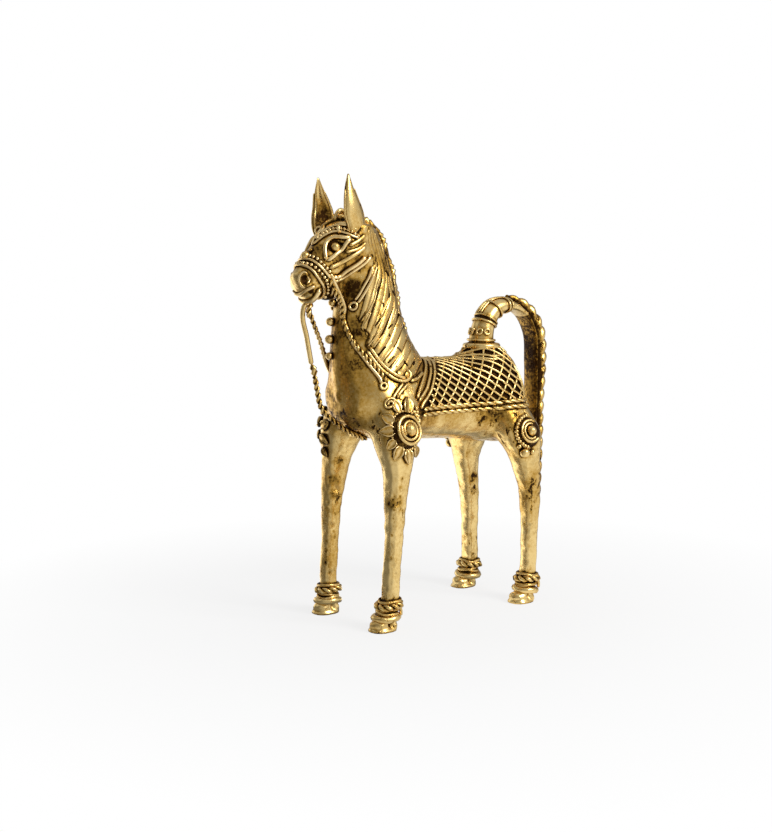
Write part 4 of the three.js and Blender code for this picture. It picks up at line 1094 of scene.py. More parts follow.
@dataclass
class Ornament:
    """Something laid on the skin in wax."""

    casting: Casting
    ground: Ground

    def laid(
        self, routes: tuple[Route, ...], radius: float, sink: float = 0.35, sign: float = LEFT
    ) -> list[Thread]:
        """Lays threads of one radius along routes of the left side, or along their mirror on the right."""
        return [self.ground.lay(mirrored(route, sign), radius, sink) for route in routes]

    def ring(self, line: np.ndarray, radius: float, sink: float) -> Thread:
        """Lays a thread that runs back to its start."""
        return self.ground.lay(line, radius, sink, closed=True)

    def spin(self, name: str, threads: list[Thread], lay: Lay = Lay.SINGLE, **style: object) -> None:
        """Makes one piece of threads on the skin, in a style as Casting.spin takes it."""
        self.casting.spin(name, threads, self.ground, lay, **style)

    def string(
        self, name: str, routes: list[np.ndarray], radius: float, gap: float = 1.0,
        finish: AgedBrass = WORN_BRASS,
    ) -> None:
        """Sets rows of beads on the skin.

        Args:
            name: the piece's name.
            routes: the rows' lines.
            radius: a bead's radius.
            gap: the distance between beads, as a share of their width.
            finish: their brass.
        """
        lines = [resampled(route, 2 * radius * gap) for route in routes]
        places, up = self.ground.set_down(np.vstack(lines))
        raised = places + up * radius * 0.55
        self.casting.scatter(name, "bead", raised, up, radius, self.ground, finish=finish)

    def seat(self, centre: Point) -> tuple[np.ndarray, np.ndarray, np.ndarray, np.ndarray]:
        """Gives the place on the skin nearest to a point, and its ways up, to the rear and to the top."""
        (place,), (up,) = self.ground.set_down(np.array([centre], float))
        rear = unit(np.cross(np.cross(up, [0, 1, 0]), up))
        top = unit(np.cross(up, np.cross([0, 0, 1], up)))
        return place, up, rear, top

    def loop(self, centre: Point, radius: float, start: float = 0.0, sweep: float = 360.0) -> np.ndarray:
        """Gives a ring round a place on the skin.

        Args:
            centre: the place.
            radius: the ring's radius.
            start: where it starts, in degrees from the rear, turning upwards.
            sweep: how far it goes round.

        Returns:
            The ring's line.
        """
        place, _, rear, top = self.seat(centre)
        turns = np.radians(start + np.linspace(0, sweep, 24, endpoint=sweep < 360))
        return place + radius * (np.outer(np.cos(turns), rear) + np.outer(np.sin(turns), top))

    def spots(self, centre: Point, radii: np.ndarray, angles: np.ndarray) -> np.ndarray:
        """Gives places round a place on the skin, by their distances and their angles as in loop."""
        return np.array([self.loop(centre, r, a, 1.0)[0] for r, a in zip(radii, angles)])


@dataclass
class Face(Ornament):
    """Eyes, nostrils, lips, ears and the knot between the ears."""

    eye: Point = (7.5, -51.7, 147.6)
    eye_rim: float = 0.85
    eyeball: float = 1.75
    ear_half_width: float = 4.6
    ear_turn: float = 84.0
    ears: tuple[Route, Route] = (
        ((5.4, -40.2, 149.5), (7.9, -42.1, 156.5), (8.7, -44.3, 162.0), (8.6, -45.9, 170.0),
         (8.2, -46.1, 175.0)),
        ((-6.2, -44.4, 149.0), (-8.4, -46.2, 156.0), (-8.9, -45.8, 161.0), (-8.6, -47.6, 169.0),
         (-8.2, -48.4, 174.4)),
    )
    ear_rows: Rows = (
        (0.0, 0.70, 0.52, 0.05), (0.17, 0.88, 0.60, 0.15), (0.30, 0.97, 0.62, 0.45), (0.42, 1.0, 0.60, 0.52),
        (0.62, 0.74, 0.50, 0.50), (0.80, 0.44, 0.36, 0.42), (0.93, 0.20, 0.20, 0.30), (1.0, 0.07, 0.08, 0.10),
    )
    fold_sink: float = 0.52
    folds: tuple[tuple[float, Route], ...] = (
        (0.85, ((6.9, -54.3, 139.7), (8.1, -49.8, 141.7), (9.6, -45.5, 144.3), (10.0, -42.2, 146.1),
                (10.0, -39.0, 148.1))),
        (0.6, ((9.2, -48.0, 145.7), (10.0, -43.1, 147.0), (9.9, -38.5, 149.6))),
        (0.75, ((9.5, -46.8, 148.1), (9.9, -42.6, 150.1), (9.4, -39.5, 152.3))),
    )
    lids: tuple[Route, Route] = (
        ((6.6, -55.4, 142.4), (6.2, -55.5, 144.3), (5.7, -55.2, 146.3), (5.1, -54.4, 148.3),
         (5.1, -53.0, 150.0), (5.8, -51.7, 151.0), (6.9, -50.4, 151.2), (8.1, -48.6, 151.0),
         (9.0, -45.8, 150.9)),
        ((9.0, -45.8, 150.8), (8.9, -48.2, 148.6), (8.6, -49.6, 146.9), (8.0, -51.3, 145.2),
         (7.3, -53.2, 143.7), (6.7, -55.2, 142.3)),
    )
    nostrils: tuple[tuple[Point, float, float, float], ...] = (
        ((4.9, -63.0, 135.4), 2.5, 0.5, 0.6), ((-4.9, -63.0, 135.8), 2.1, 0.4, 1.0),
    )
    upper_lip: Route = (
        (0, -63.1, 130.0), (2.4, -63.3, 130.5), (4.2, -63.1, 131.4), (5.2, -62.6, 132.1), (6.0, -60.2, 133),
    )
    lower_lip: Route = (
        (0, -60, 127.5), (1.8, -59.6, 127.5), (4.3, -59.5, 128.8), (5.0, -58.6, 130.4), (5.6, -58.0, 132.2),
    )
    knot_arch: Route = (
        (0.4, -46.4, 157.0), (0.3, -46.0, 160.2), (0.2, -44.0, 162.0), (0, -41.8, 161.4), (0, -40.4, 158.4),
    )
    forehead: Rows = (
        (0.1, -43.8, 158.7, 2.0), (-2.0, -46.0, 157.2, 0.95), (-3.2, -47.2, 156.6, 0.9),
        (-0.7, -46.6, 157.4, 0.9),
    )

    def eyes(self) -> None:
        """Rims each eye and sets its ball in the hollow."""
        plain = ball(20, 11)
        for side, sign in SIDES.items():
            self.spin(f"eye_rim_{side}", self.laid(self.lids, self.eye_rim, 0.3, sign), finish=POLISHED)
            body = Body(plain.points * self.eyeball + mirrored(self.eye, sign), plain.faces)
            recess = 1 - eased(-0.3, 0.45, plain.points @ unit(np.array([sign * 0.75, -0.6, 0.2])))
            self.casting.piece(f"eyeball_{side}", body, recess, WORN_BRASS)

    def mouth(self) -> None:
        """Rings the nostrils and lays the lips, the upper one thin on the right."""
        rings = [self.ring(self.loop(at, reach), thick, sink) for at, reach, thick, sink in self.nostrils]
        upper, lower = across(self.upper_lip), across(self.lower_lip)
        self.spin("nostril_rings", rings, finish=POLISHED)
        lips = [self.ground.lay(upper[3:], 0.75), self.ground.lay(upper[2:4], 0.4, 0.7)]
        self.spin("upper_lip", lips, finish=POLISHED)
        self.spin("lower_lip", [self.ground.lay(lower, 1.15, 0.6)], finish=POLISHED)

    def ear(self, side: str, sign: float, axis: Route) -> None:
        """Builds an ear with its hollow turned inward and a little forward.

        Args:
            side: its side by name.
            sign: LEFT or RIGHT.
            axis: the places its middle passes, from the root inside the head to the tip.
        """
        line = np.array(axis, float)
        along = arc_lengths(line)
        shares = np.linspace(0, 1, 34)
        middles = spline(along, line, shares * along[-1])
        leans = unit(np.gradient(middles, axis=0))
        turn = math.radians(self.ear_turn)
        rows = np.array(self.ear_rows)
        rings, recess = [], []
        turns = np.linspace(0, math.pi, 15)
        inward = turns[::-1]
        for middle, lean, (share, w, d, hollow) in zip(middles, leans, spline(rows[:, 0], rows, shares)):
            back = np.array([sign * math.sin(turn), math.cos(turn), 0.13])
            back = unit(back - lean * (back @ lean))
            wide = np.cross(lean, back)
            w, d = w * self.ear_half_width, d * self.ear_half_width
            outer = np.column_stack([w * np.cos(turns), d * np.sin(turns) ** 0.7])
            inner = np.column_stack([0.80 * w * np.cos(inward), (d * 1.25 * hollow) * np.sin(inward)])
            inner[[0, -1], 1] -= 0.12 * d
            flat = np.vstack([outer, inner])
            rings.append(middle + np.outer(flat[:, 0], wide) + np.outer(flat[:, 1] - d * 0.35, back))
            deep = 0.85 * (1 - eased(0.45, 0.85, share)) * np.sin(inward) ** 0.5
            rim = 0.45 * (np.abs(np.cos(turns)) > 0.93) * (share < 0.9)
            recess.append(np.concatenate([np.maximum(rim, 0.22 * (1 - eased(0.2, 0.42, share))), deep]))
        rings = np.array(rings)
        body = loft(rings)
        if np.einsum("ij,ij->", body.normals(), body.points - rings.mean(axis=(0, 1))) < 0:
            body = loft(rings[:, ::-1])
            recess = [row[::-1] for row in recess]
        self.casting.piece(f"ear_{side}", body, np.concatenate([*recess, [0.6, 0.0]]), SATIN_BRASS)
        own = Ground(body)
        rims = [own.lay(rings[5:27, at], 0.34) for at in (1, 13)]
        self.casting.spin(f"ear_rims_{side}", rims, own, sides=6)

    def cheeks(self) -> None:
        """Lays the folds across the cheeks, under the eyes."""
        for side, sign in SIDES.items():
            folds = [
                self.ground.lay(mirrored(route, sign), radius, self.fold_sink) for radius, route in self.folds
            ]
            self.spin(f"cheek_folds_{side}", folds, finish=LOCKS, flatness=0.8)

    def knot(self) -> None:
        """Ties the small knot between the ears, with a ball under it."""
        arch = np.array(self.knot_arch)
        self.spin("forelock_knot", [Thread.free(route, 0.75) for route in (arch, arch + (-1.5, 0.5, -0.7))])
        balls = np.array(self.forehead)
        self.casting.scatter("forehead_balls", "bead", balls[:, :3], (0, -0.5, 0.8), balls[:, 3], self.ground)

    def build(self) -> None:
        """Makes the face."""
        self.eyes()
        self.mouth()
        for (side, sign), axis in zip(SIDES.items(), self.ears):
            self.ear(side, sign, axis)
        self.cheeks()
        self.knot()


@dataclass
class Bridle(Ornament):
    """The threads and beads of the bridle, and the reins."""

    thread: float = 0.55
    bead: float = 0.72
    brow_bead: float = 0.74
    rein: float = 0.78
    halter_thread: float = 0.75
    halter_ring: Point = (6.2, -49.0, 153.9)
    throat_ring: Point = (6.5, -42.6, 125.3)
    rein_ring: Point = (15.9, -35.2, 95.0)
    brow_rows: tuple[Route, ...] = (
        ((0, -56.6, 148.3), (1.6, -54.7, 150.2), (3.0, -52.6, 152.1), (5.1, -49.9, 153.3),
         (7.6, -47.2, 152.7), (9.3, -44.0, 151.4), (9.7, -42.4, 151.1)),
        ((0, -54.5, 151.0), (1.6, -52.4, 152.8), (2.9, -50.7, 153.9), (4.1, -49.4, 154.4),
         (5.9, -47.6, 154.5), (7.5, -45.6, 153.8), (9.5, -42.6, 151.9)),
        ((0, -52.6, 152.9), (1.4, -50.4, 154.9), (2.7, -49.3, 155.5), (4.1, -48.1, 155.8),
         (5.8, -46.4, 155.8), (7.0, -44.8, 155.6), (8.6, -42.6, 154.0)),
    )
    halter: tuple[Route, ...] = (
        ((-6.2, -48.4, 155.0), (-4.4, -49.3, 155.6), (-2.6, -47.2, 157.4), (-1.2, -44.2, 158.6)),
        ((-6.6, -46.8, 155.6), (-4.6, -47.8, 156.6), (-2.8, -45.8, 158.2), (-1.6, -43.2, 159.0)),
        ((3.6, -48.0, 156.4), (4.6, -47.2, 156.6), (6.2, -45.6, 156.2), (8.2, -42.8, 154.9)),
    )
    nose_rows: tuple[Route, ...] = (
        ((0, -61.1, 142.8), (3.1, -60.2, 142.5), (4.6, -59.2, 141.8), (5.6, -58.3, 140.8),
         (6.3, -56.9, 139.3), (6.6, -55.2, 137.6), (6.3, -53.4, 135.6), (4.6, -51.6, 133.2),
         (2.2, -50.8, 131.9), (0, -50.5, 131.4)),
        ((0, -62.3, 141.4), (2.5, -61.6, 141.1), (4.5, -60.3, 140.5), (5.4, -59.4, 139.6),
         (6.0, -58.2, 138.4), (6.4, -56.6, 136.6), (6.2, -55.0, 134.7), (4.5, -53.2, 132.5),
         (2.2, -52.4, 131.2), (0, -52.2, 130.8)),
        ((0, -62.9, 140.5), (2.5, -62.3, 140.2), (4.2, -61.5, 139.6), (5.2, -60.6, 138.6),
         (5.9, -59.6, 136.9), (6.1, -58.2, 135.1), (5.8, -56.6, 133.3), (4.1, -54.8, 131.4),
         (2.0, -54.0, 130.3), (0, -53.8, 130.0)),
    )
    nose_top: Route = (
        (0, -60.0, 144.2), (3.6, -59.0, 143.6), (5.0, -58.0, 142.8), (6.0, -57.1, 141.5), (6.6, -55.9, 140.2),
        (6.9, -54.4, 138.6), (6.7, -53.4, 137.2),
    )
    drop: Rows = ((0.6, -60.6, 144.3, 1.85), (1.0, -58.4, 146.4, 0.9))
    cheek_straps: tuple[tuple[float, Route], ...] = (
        (0.85, ((6.4, -52.6, 136.6), (5.9, -49.4, 136.8), (6.8, -47.6, 138.2), (7.6, -46.1, 139.5),
                (8.3, -43.9, 140.8), (9.0, -41.6, 142.3), (9.5, -39.3, 144.3))),
        (0.75, ((5.6, -51.0, 135.0), (4.9, -48.6, 135.3), (5.5, -46.1, 136.9), (6.7, -44.1, 138.4),
                (7.5, -42.7, 139.5), (8.2, -40.8, 140.6), (8.9, -38.3, 142.4), (9.4, -36.4, 144.3))),
    )
    throat_straps: tuple[Route, ...] = (
        ((8.6, -35.3, 140.5), (8.4, -36.8, 136.3), (8.0, -38.7, 133.0), (7.2, -40.9, 129.0),
         (6.7, -41.9, 127.5)),
        ((8.7, -33.1, 140.6), (8.8, -35.2, 136.3), (8.6, -37.3, 132.5), (8.3, -38.9, 129.9),
         (7.5, -41.2, 126.4)),
    )
    rein_routes: tuple[Route, Route] = (
        ((6.8, -53.9, 137.0), (6.4, -51.0, 132.4), (5.2, -47.2, 127.4), (4.2, -45.0, 123.6),
         (3.6, -45.1, 121.6), (4.4, -44.9, 118.5), (5.9, -44.3, 115.1), (7.7, -42.9, 110.3),
         (9.4, -41.1, 107.4), (10.9, -39.2, 104.2), (12.5, -37.6, 101.8), (13.9, -36.3, 99.6),
         (15.1, -35.3, 97.7), (15.7, -35.2, 95.9)),
        ((-6.8, -53.9, 137.0), (-7.0, -54.0, 129.5), (-7.0, -53.3, 122.4), (-7.0, -50.6, 116.0),
         (-7.2, -47.8, 109.8), (-8.2, -45.6, 105.0), (-10.6, -42.0, 100.6), (-13.6, -37.6, 97.6),
         (-15.7, -35.2, 95.9)),
    )
    rod: Route = (
        (0, -58.6, 127.2), (0, -61.0, 125.2), (0, -61.6, 122.6), (0, -59.8, 113.5), (0, -57.7, 103.0),
    )
    link_off_rod: Route = ((0.6, 1.3, 0.2), (1.3, 1.5, -0.5), (1.4, 1.3, -1.5))
    swivel: Route = ((0.3, -57.9, 103.4), (0.3, -56.9, 101.2), (0.1, -56.2, 98.4))
    rope: Route = (
        (0, -56.4, 99.2), (0, -55.2, 93.5), (0, -53.0, 85.5), (0, -47.8, 81.2), (0, -43.4, 78.0),
        (0, -37.5, 75.0), (0, -31.0, 72.4),
    )
    throat_beads: Rows = (
        (-2.4, -47, 126.6, 1.6), (-2.6, -47, 119.2, 1.75), (-2.8, -47, 112.4, 1.8), (-3.0, -48, 106.0, 1.5),
    )

    def brow(self) -> None:
        """Lays the browband, a row of beads between smooth threads, and the halter's threads and rings."""
        low, middle, top = (across(half) for half in self.brow_rows)
        self.spin("browband", self.laid((low, top), self.thread, 0.15), finish=POLISHED)
        self.string("browband_beads", [middle], self.brow_bead, 0.95, finish=POLISHED)
        hung = [self.ground.drape(route, self.halter_thread) for route in self.halter]
        turns = np.linspace(0, math.tau, 16, endpoint=False)
        for sign in SIDES.values():
            place, up, _, high = self.seat(mirrored(self.halter_ring, sign))
            ring = np.outer(np.cos(turns), up) + np.outer(np.sin(turns), high)
            hung.append(Thread.free(place + up * 1.1 + ring * 1.4, 0.5, closed=True))
        self.spin("halter", hung, finish=POLISHED)

    def nose(self) -> None:
        """Lays the noseband: two rings of thread, a row of beads between them, one above and a drop."""
        halves = [np.array(half, float) for half in self.nose_rows]
        high, middle, low = (np.vstack([left, mirrored(left[-2:0:-1], RIGHT)]) for left in halves)
        threads = [self.ring(line, self.thread, 0.1) for line in (high, low)]
        self.spin("noseband", threads, finish=POLISHED)
        rows = [across(self.nose_top), np.vstack([middle, middle[:1]])]
        self.string("noseband_beads", rows, self.bead, 1.12, finish=POLISHED)
        drop = np.array(self.drop)
        self.casting.scatter("noseband_drop", "bead", drop[:, :3], (0, -0.7, 0.7), drop[:, 3], self.ground)

    def straps(self) -> None:
        """Lays the cheek straps and the throat straps with their rings."""
        for side, sign in SIDES.items():
            cheeks = [
                self.ground.lay(mirrored(route, sign), radius, 0.2) for radius, route in self.cheek_straps
            ]
            self.spin(f"cheek_strap_{side}", cheeks, finish=POLISHED)
            threads = self.laid(self.throat_straps, 0.6, 0.15, sign)
            threads.append(self.ring(self.loop(mirrored(self.throat_ring, sign), 1.5), 0.55, 0.1))
            self.spin(f"throat_strap_{side}", threads, finish=POLISHED)

    def reins(self) -> None:
        """Hangs the left rein along the neck and the right rein down to the chest."""
        for (side, sign), line in zip(SIDES.items(), self.rein_routes):
            smooth = self.ground.drape(line, self.rein, (-0.8 * sign, 0.8 * sign))
            self.spin(f"rein_{side}", [smooth], finish=POLISHED)
            twist = self.ground.drape(line, self.rein * 1.5, (1.2 * sign, -1.1 * sign))
            self.spin(f"rein_twist_{side}", [twist], Lay.TWISTED, pitch=4.6)
            ring = self.loop(mirrored(self.rein_ring, sign), 1.35)
            self.spin(f"rein_ring_{side}", [self.ring(ring, 0.6, 0.1)])

    def breast_strap(self) -> None:
        """Hangs the plain rod from the chin with a link beside it, its swivel, and the rope to the chest."""
        link = np.array(self.rod[:3]) + np.array(self.link_off_rod)
        spin = self.casting.spin
        spin("strap_rod", [Thread.free(self.rod, 1.0)], None)
        spin("strap_link", [Thread.free(link, 1.15)], None, Lay.TWISTED, pitch=4.6)
        spin("strap_swivel", [Thread.free(self.swivel, 1.75)], None, Lay.TWISTED, pitch=9.0)
        spin("strap_rope", [self.ground.drape(self.rope, 1.25)], None, Lay.TWISTED, pitch=5.0)

    def throat(self) -> None:
        """Sets the beads down the front of the throat."""
        beads = np.array(self.throat_beads)
        places, up = self.ground.set_down(beads[:, :3])
        self.casting.scatter("throat_beads", "ball", places + up * 1.1, up, beads[:, 3], self.ground)

    def build(self) -> None:
        """Makes the bridle."""
        self.brow()
        self.nose()
        self.straps()
        self.reins()
        self.breast_strap()
        self.throat()


@dataclass
class Mane(Ornament):
    """The flat locks on both sides of the neck and the plait along its crest."""

    lock_share: float = 0.52
    widest: float = 2.6
    flatness: float = 0.24
    bare_from: float = 142.0
    ridge: float = 0.4
    groove: float = 0.45
    border: float = 0.72
    strap: float = 0.62
    swirl: float = 0.5
    swirl_centre: Point = (19.7, -34.9, 88.9)
    swirl_radii: tuple[float, float] = (2.5, 0.6)
    swirl_sweep: float = 600.0
    swirl_steps: int = 40
    plait_radius: float = 2.4
    crest: tuple[tuple[float, float], ...] = (
        (-40.0, 159.6), (-37.5, 158.6), (-33.6, 157.2), (-29.6, 154.4), (-26.6, 150.5), (-24.6, 147.0),
        (-22.4, 141.0), (-20.0, 135.0), (-17.9, 123.4), (-13.2, 112.4), (-8.6, 104.4), (-6.4, 102.6),
    )
    ridges: tuple[Route, ...] = (
        ((9.5, -33.9, 130.9), (9.6, -35.2, 127.6), (9.6, -36.8, 124.7), (9.3, -38.2, 122.5)),
        ((10.8, -32.0, 121.2), (11.0, -33.7, 119.0), (10.9, -35.7, 116.7)),
        ((11.4, -32.7, 117.0), (11.4, -35.4, 113.9), (11.1, -37.1, 112.0), (10.6, -38.7, 110.0)),
        ((11.9, -31.4, 114.8), (11.8, -34.4, 112.3), (11.4, -36.9, 109.6)),
        ((12.3, -28.4, 111.6), (12.6, -31.7, 109.1), (12.4, -34.4, 106.6), (12.5, -36.0, 104.0)),
        ((12.7, -28.0, 109.5), (12.9, -31.1, 107.1), (13.0, -34.3, 103.9)),
        ((12.8, -24.1, 107.4), (13.9, -27.5, 104.4), (14.7, -30.6, 101.4)),
        ((12.9, -22.6, 106.4), (14.0, -25.5, 103.9), (14.8, -28.3, 101.7)),
        ((9.3, -27.6, 128.7), (10.0, -29.7, 125.7), (10.5, -31.6, 123.2), (10.7, -33.0, 121.4)),
        ((9.0, -32.4, 136.0), (9.3, -33.3, 133.5), (9.5, -34.4, 130.2)),
        ((8.6, -23.8, 124.2), (9.9, -25.6, 121.3), (10.9, -27.5, 119.1)),
        ((9.7, -36.9, 122.9), (9.6, -38.4, 120.0), (9.2, -39.8, 117.8)),
    )
    grooves: tuple[Route, ...] = (
        ((8.1, -28.5, 139.0), (8.1, -27.7, 137.9), (7.9, -26.7, 136.7)),
        ((8.2, -25.3, 131.2), (8.0, -24.7, 130.1), (7.9, -24.1, 128.9)),
        ((10.0, -31.4, 126.7), (10.1, -31.2, 125.8), (10.3, -31.0, 124.8)),
        ((8.3, -22.5, 122.1), (7.9, -21.5, 121.3), (7.3, -20.4, 120.5)),
        ((9.1, -38.4, 123.5), (8.8, -39.7, 121.5), (8.3, -41.0, 119.3)),
        ((11.3, -35.6, 114.1), (11.2, -36.7, 112.7), (11.0, -37.6, 111.0)),
        ((12.5, -31.8, 109.7), (12.5, -32.9, 108.5), (12.4, -34.6, 106.6), (12.3, -36.3, 104.2)),
        ((11.8, -29.6, 114.9), (11.9, -30.0, 114.2), (12.0, -29.3, 113.3)),
        ((11.0, -27.2, 118.3), (11.4, -28.8, 117.3), (11.6, -30.2, 116.4)),
        ((9.8, -19.1, 111.6), (9.6, -18.3, 110.8), (9.3, -17.2, 110.0)),
        ((13.9, -24.0, 104.1), (14.2, -23.0, 102.9), (14.4, -21.9, 101.8)),
        ((12.6, -26.8, 109.4), (12.6, -25.6, 108.5), (12.8, -24.4, 107.5)),
        ((10.8, -33.0, 120.8), (10.8, -34.3, 119.1), (10.9, -35.6, 117.3)),
        ((12.3, -16.9, 103.5), (13.0, -17.8, 102.8), (13.6, -18.7, 102.1)),
        ((9.2, -40.0, 116.7), (10.0, -38.8, 115.6), (10.5, -37.9, 114.4), (10.4, -38.8, 112.0),
         (10.3, -39.3, 110.0), (11.3, -37.2, 108.6)),
        ((13.3, -28.2, 106.2), (13.6, -29.9, 104.8), (13.8, -31.9, 103.3)),
        ((13.9, -27.1, 104.4), (14.2, -28.5, 103.2), (14.5, -30.0, 102.0)),
        ((9.4, -32.9, 132.7), (9.5, -33.6, 130.9), (9.6, -34.5, 129.1)),
    )
    locks: tuple[Route, ...] = (
        ((6.4, -36.8, 157.0), (9.2, -36.8, 152.7), (9.8, -35.4, 148.0), (8.9, -33.5, 142.6),
         (8.8, -35.3, 135.3), (8.9, -37.2, 129.5), (8.8, -39.0, 124.4), (8.5, -40.7, 119.3)),
        ((6.1, -35.0, 156.6), (9.1, -35.1, 152.8), (9.5, -33.5, 147.7), (8.6, -31.4, 140.1),
         (9.3, -33.8, 132.7), (9.5, -36.3, 126.5), (9.4, -38.6, 120.7), (9.2, -40.0, 116.0)),
        ((8.0, -34.7, 155.7), (9.0, -33.2, 151.3), (8.8, -31.2, 145.9), (8.8, -29.7, 136.4),
         (9.6, -31.7, 130.2), (10.2, -34.5, 123.6), (10.3, -36.9, 118.5), (10.1, -38.9, 114.2)),
        ((8.2, -32.8, 153.2), (8.7, -31.0, 148.8), (7.7, -28.7, 143.4), (8.9, -28.4, 132.7),
         (9.8, -30.0, 127.6), (10.7, -33.0, 121.4), (10.9, -36.0, 116.0), (10.7, -38.4, 110.9)),
        ((4.6, -27.2, 149.8), (7.4, -27.9, 144.9), (7.4, -26.7, 139.4), (8.4, -26.6, 133.1),
         (8.8, -25.9, 127.9), (10.5, -29.1, 122.8), (11.3, -32.4, 117.7), (11.5, -35.1, 113.4),
         (11.3, -37.2, 109.4)),
        ((5.4, -25.8, 145.2), (6.4, -25.2, 140.1), (7.6, -25.0, 134.2), (8.6, -23.8, 124.2),
         (10.8, -27.2, 119.1), (11.9, -30.2, 114.7), (12.1, -33.2, 110.8), (11.9, -36.1, 107.2)),
        ((4.5, -22.3, 136.0), (6.0, -21.4, 128.0), (7.2, -20.3, 120.4), (10.7, -24.6, 116.0),
         (12.1, -27.8, 112.1), (12.7, -31.4, 108.2), (12.7, -34.9, 104.6)),
        ((4.0, -19.6, 127.0), (5.5, -16.9, 116.4), (10.7, -21.9, 112.6), (12.6, -25.6, 108.7),
         (13.5, -29.4, 105.4), (13.9, -33.2, 102.2)),
        ((4.0, -16.6, 118.6), (5.9, -15.1, 112.4), (11.2, -19.9, 108.8), (13.4, -23.6, 105.3),
         (14.5, -27.1, 102.5), (15.1, -31.1, 100.1)),
        ((4.4, -14.0, 113.0), (6.5, -13.0, 108.8), (11.5, -17.5, 105.8), (13.8, -21.0, 103.0),
         (15.1, -24.5, 100.6), (15.8, -28.1, 98.9)),
        ((3.6, -10.4, 107.8), (6.1, -9.8, 105.8), (11.3, -14.3, 103.4), (13.8, -17.9, 101.0),
         (15.2, -21.2, 99.4), (16.0, -24.5, 98.2)),
    )
    edge: Route = (
        (10.5, -39.2, 108.3), (12.1, -36.8, 104.2), (13.7, -34.9, 101.5), (15.2, -32.6, 99.3),
        (16.2, -29.7, 97.2), (16.6, -25.9, 96.3), (16.1, -22.9, 97.2), (15.3, -21.6, 99.1),
        (15.0, -23.3, 100.6),
    )
    edge_end: Route = ((16.4, -22.4, 96.2), (16.0, -18.6, 97.0), (15.4, -15.4, 98.4), (14.6, -12.6, 99.6))
    straps: tuple[Route, Route] = (
        ((16.8, -26.4, 95.6), (17.5, -29.1, 93.6), (17.8, -31.2, 91.5), (17.9, -32.8, 89.9)),
        ((16.8, -24.1, 95.2), (17.5, -27.2, 93.2), (17.9, -29.4, 91.6), (18.4, -30.6, 90.0)),
    )

    def bands(self, sign: float) -> list[Thread]:
        """Gives the locks of one side as flat bands, each as wide as the gap to its neighbours lets it be."""
        laid = self.laid(self.locks, 1.0, 0.75, sign)
        bands = []
        for i, lock in enumerate(laid):
            beside = [laid[k].line for k in (i - 1, i + 1) if 0 <= k < len(laid)]
            gaps = [np.linalg.norm(lock.line[:, None] - other[None], axis=2).min(axis=1) for other in beside]
            half = np.clip(np.min(gaps, axis=0)[:, None] * self.lock_share, 0.5, self.widest)
            low = 0.26 * eased(134.0, 147.0, lock.line[:, 2:3])
            bands.append(Thread(lock.line - lock.up * low, softened(half, 6)[:, 0] * lock.radius, lock.up))
        return bands

    def side(self, side: str, sign: float) -> None:
        """Lays the locks of one side, the border under them and the strap down to the shoulder."""
        style = {"finish": LOCKS, "flatness": self.flatness, "sides": 12, "bare_from": self.bare_from}
        self.spin(f"mane_{side}", self.bands(sign), **style)
        ridges = self.laid(self.ridges, self.ridge, -0.25, sign)
        grooves = self.laid(self.grooves, self.groove, -0.2, sign)
        self.casting.spin(f"mane_ridges_{side}", ridges, None, finish=SATIN_BRASS, sides=6)
        self.casting.spin(f"mane_grooves_{side}", grooves, None, finish=GROOVE, flatness=0.6, sides=6)
        inner = np.array(self.edge[:6]) + (-0.2, 1.3, 1.2)
        self.spin(f"mane_border_{side}", self.laid((self.edge, inner, self.edge_end), self.border, 0.1, sign))
        self.spin(f"shoulder_strap_{side}", self.laid(self.straps, self.strap, 0.1, sign))
        radii = np.linspace(*self.swirl_radii, self.swirl_steps)
        angles = np.linspace(0, self.swirl_sweep, self.swirl_steps)
        swirl = self.spots(mirrored(self.swirl_centre, sign), radii, angles)
        self.spin(f"shoulder_swirl_{side}", [self.ground.lay(swirl, self.swirl, 0.0)])

    def plait(self) -> None:
        """Lays the plait along the crest, tapering and sinking in towards the saddle."""
        line = np.array([(0.0, y + 1.3, z + 0.5) for y, z in self.crest])
        laid = self.ground.drape(line, self.plait_radius)
        share = np.linspace(0, 1, len(laid.line))
        thick = laid.radius * np.interp(share, [0, 0.06, 0.5, 0.8, 1], [0.6, 1.2, 1.15, 1.0, 0.5])
        sunk = np.interp(share, [0, 0.3, 0.8, 1], [0.2, 0.3, 0.4, 1.8])[:, None]
        plait = Thread(laid.line - laid.up * sunk, thick, laid.up)
        self.spin("crest_plait", [plait], Lay.PLAITED, pitch=8.0, spread=0.55)

    def build(self) -> None:
        """Makes the mane."""
        for side, sign in SIDES.items():
            self.side(side, sign)
        self.plait()


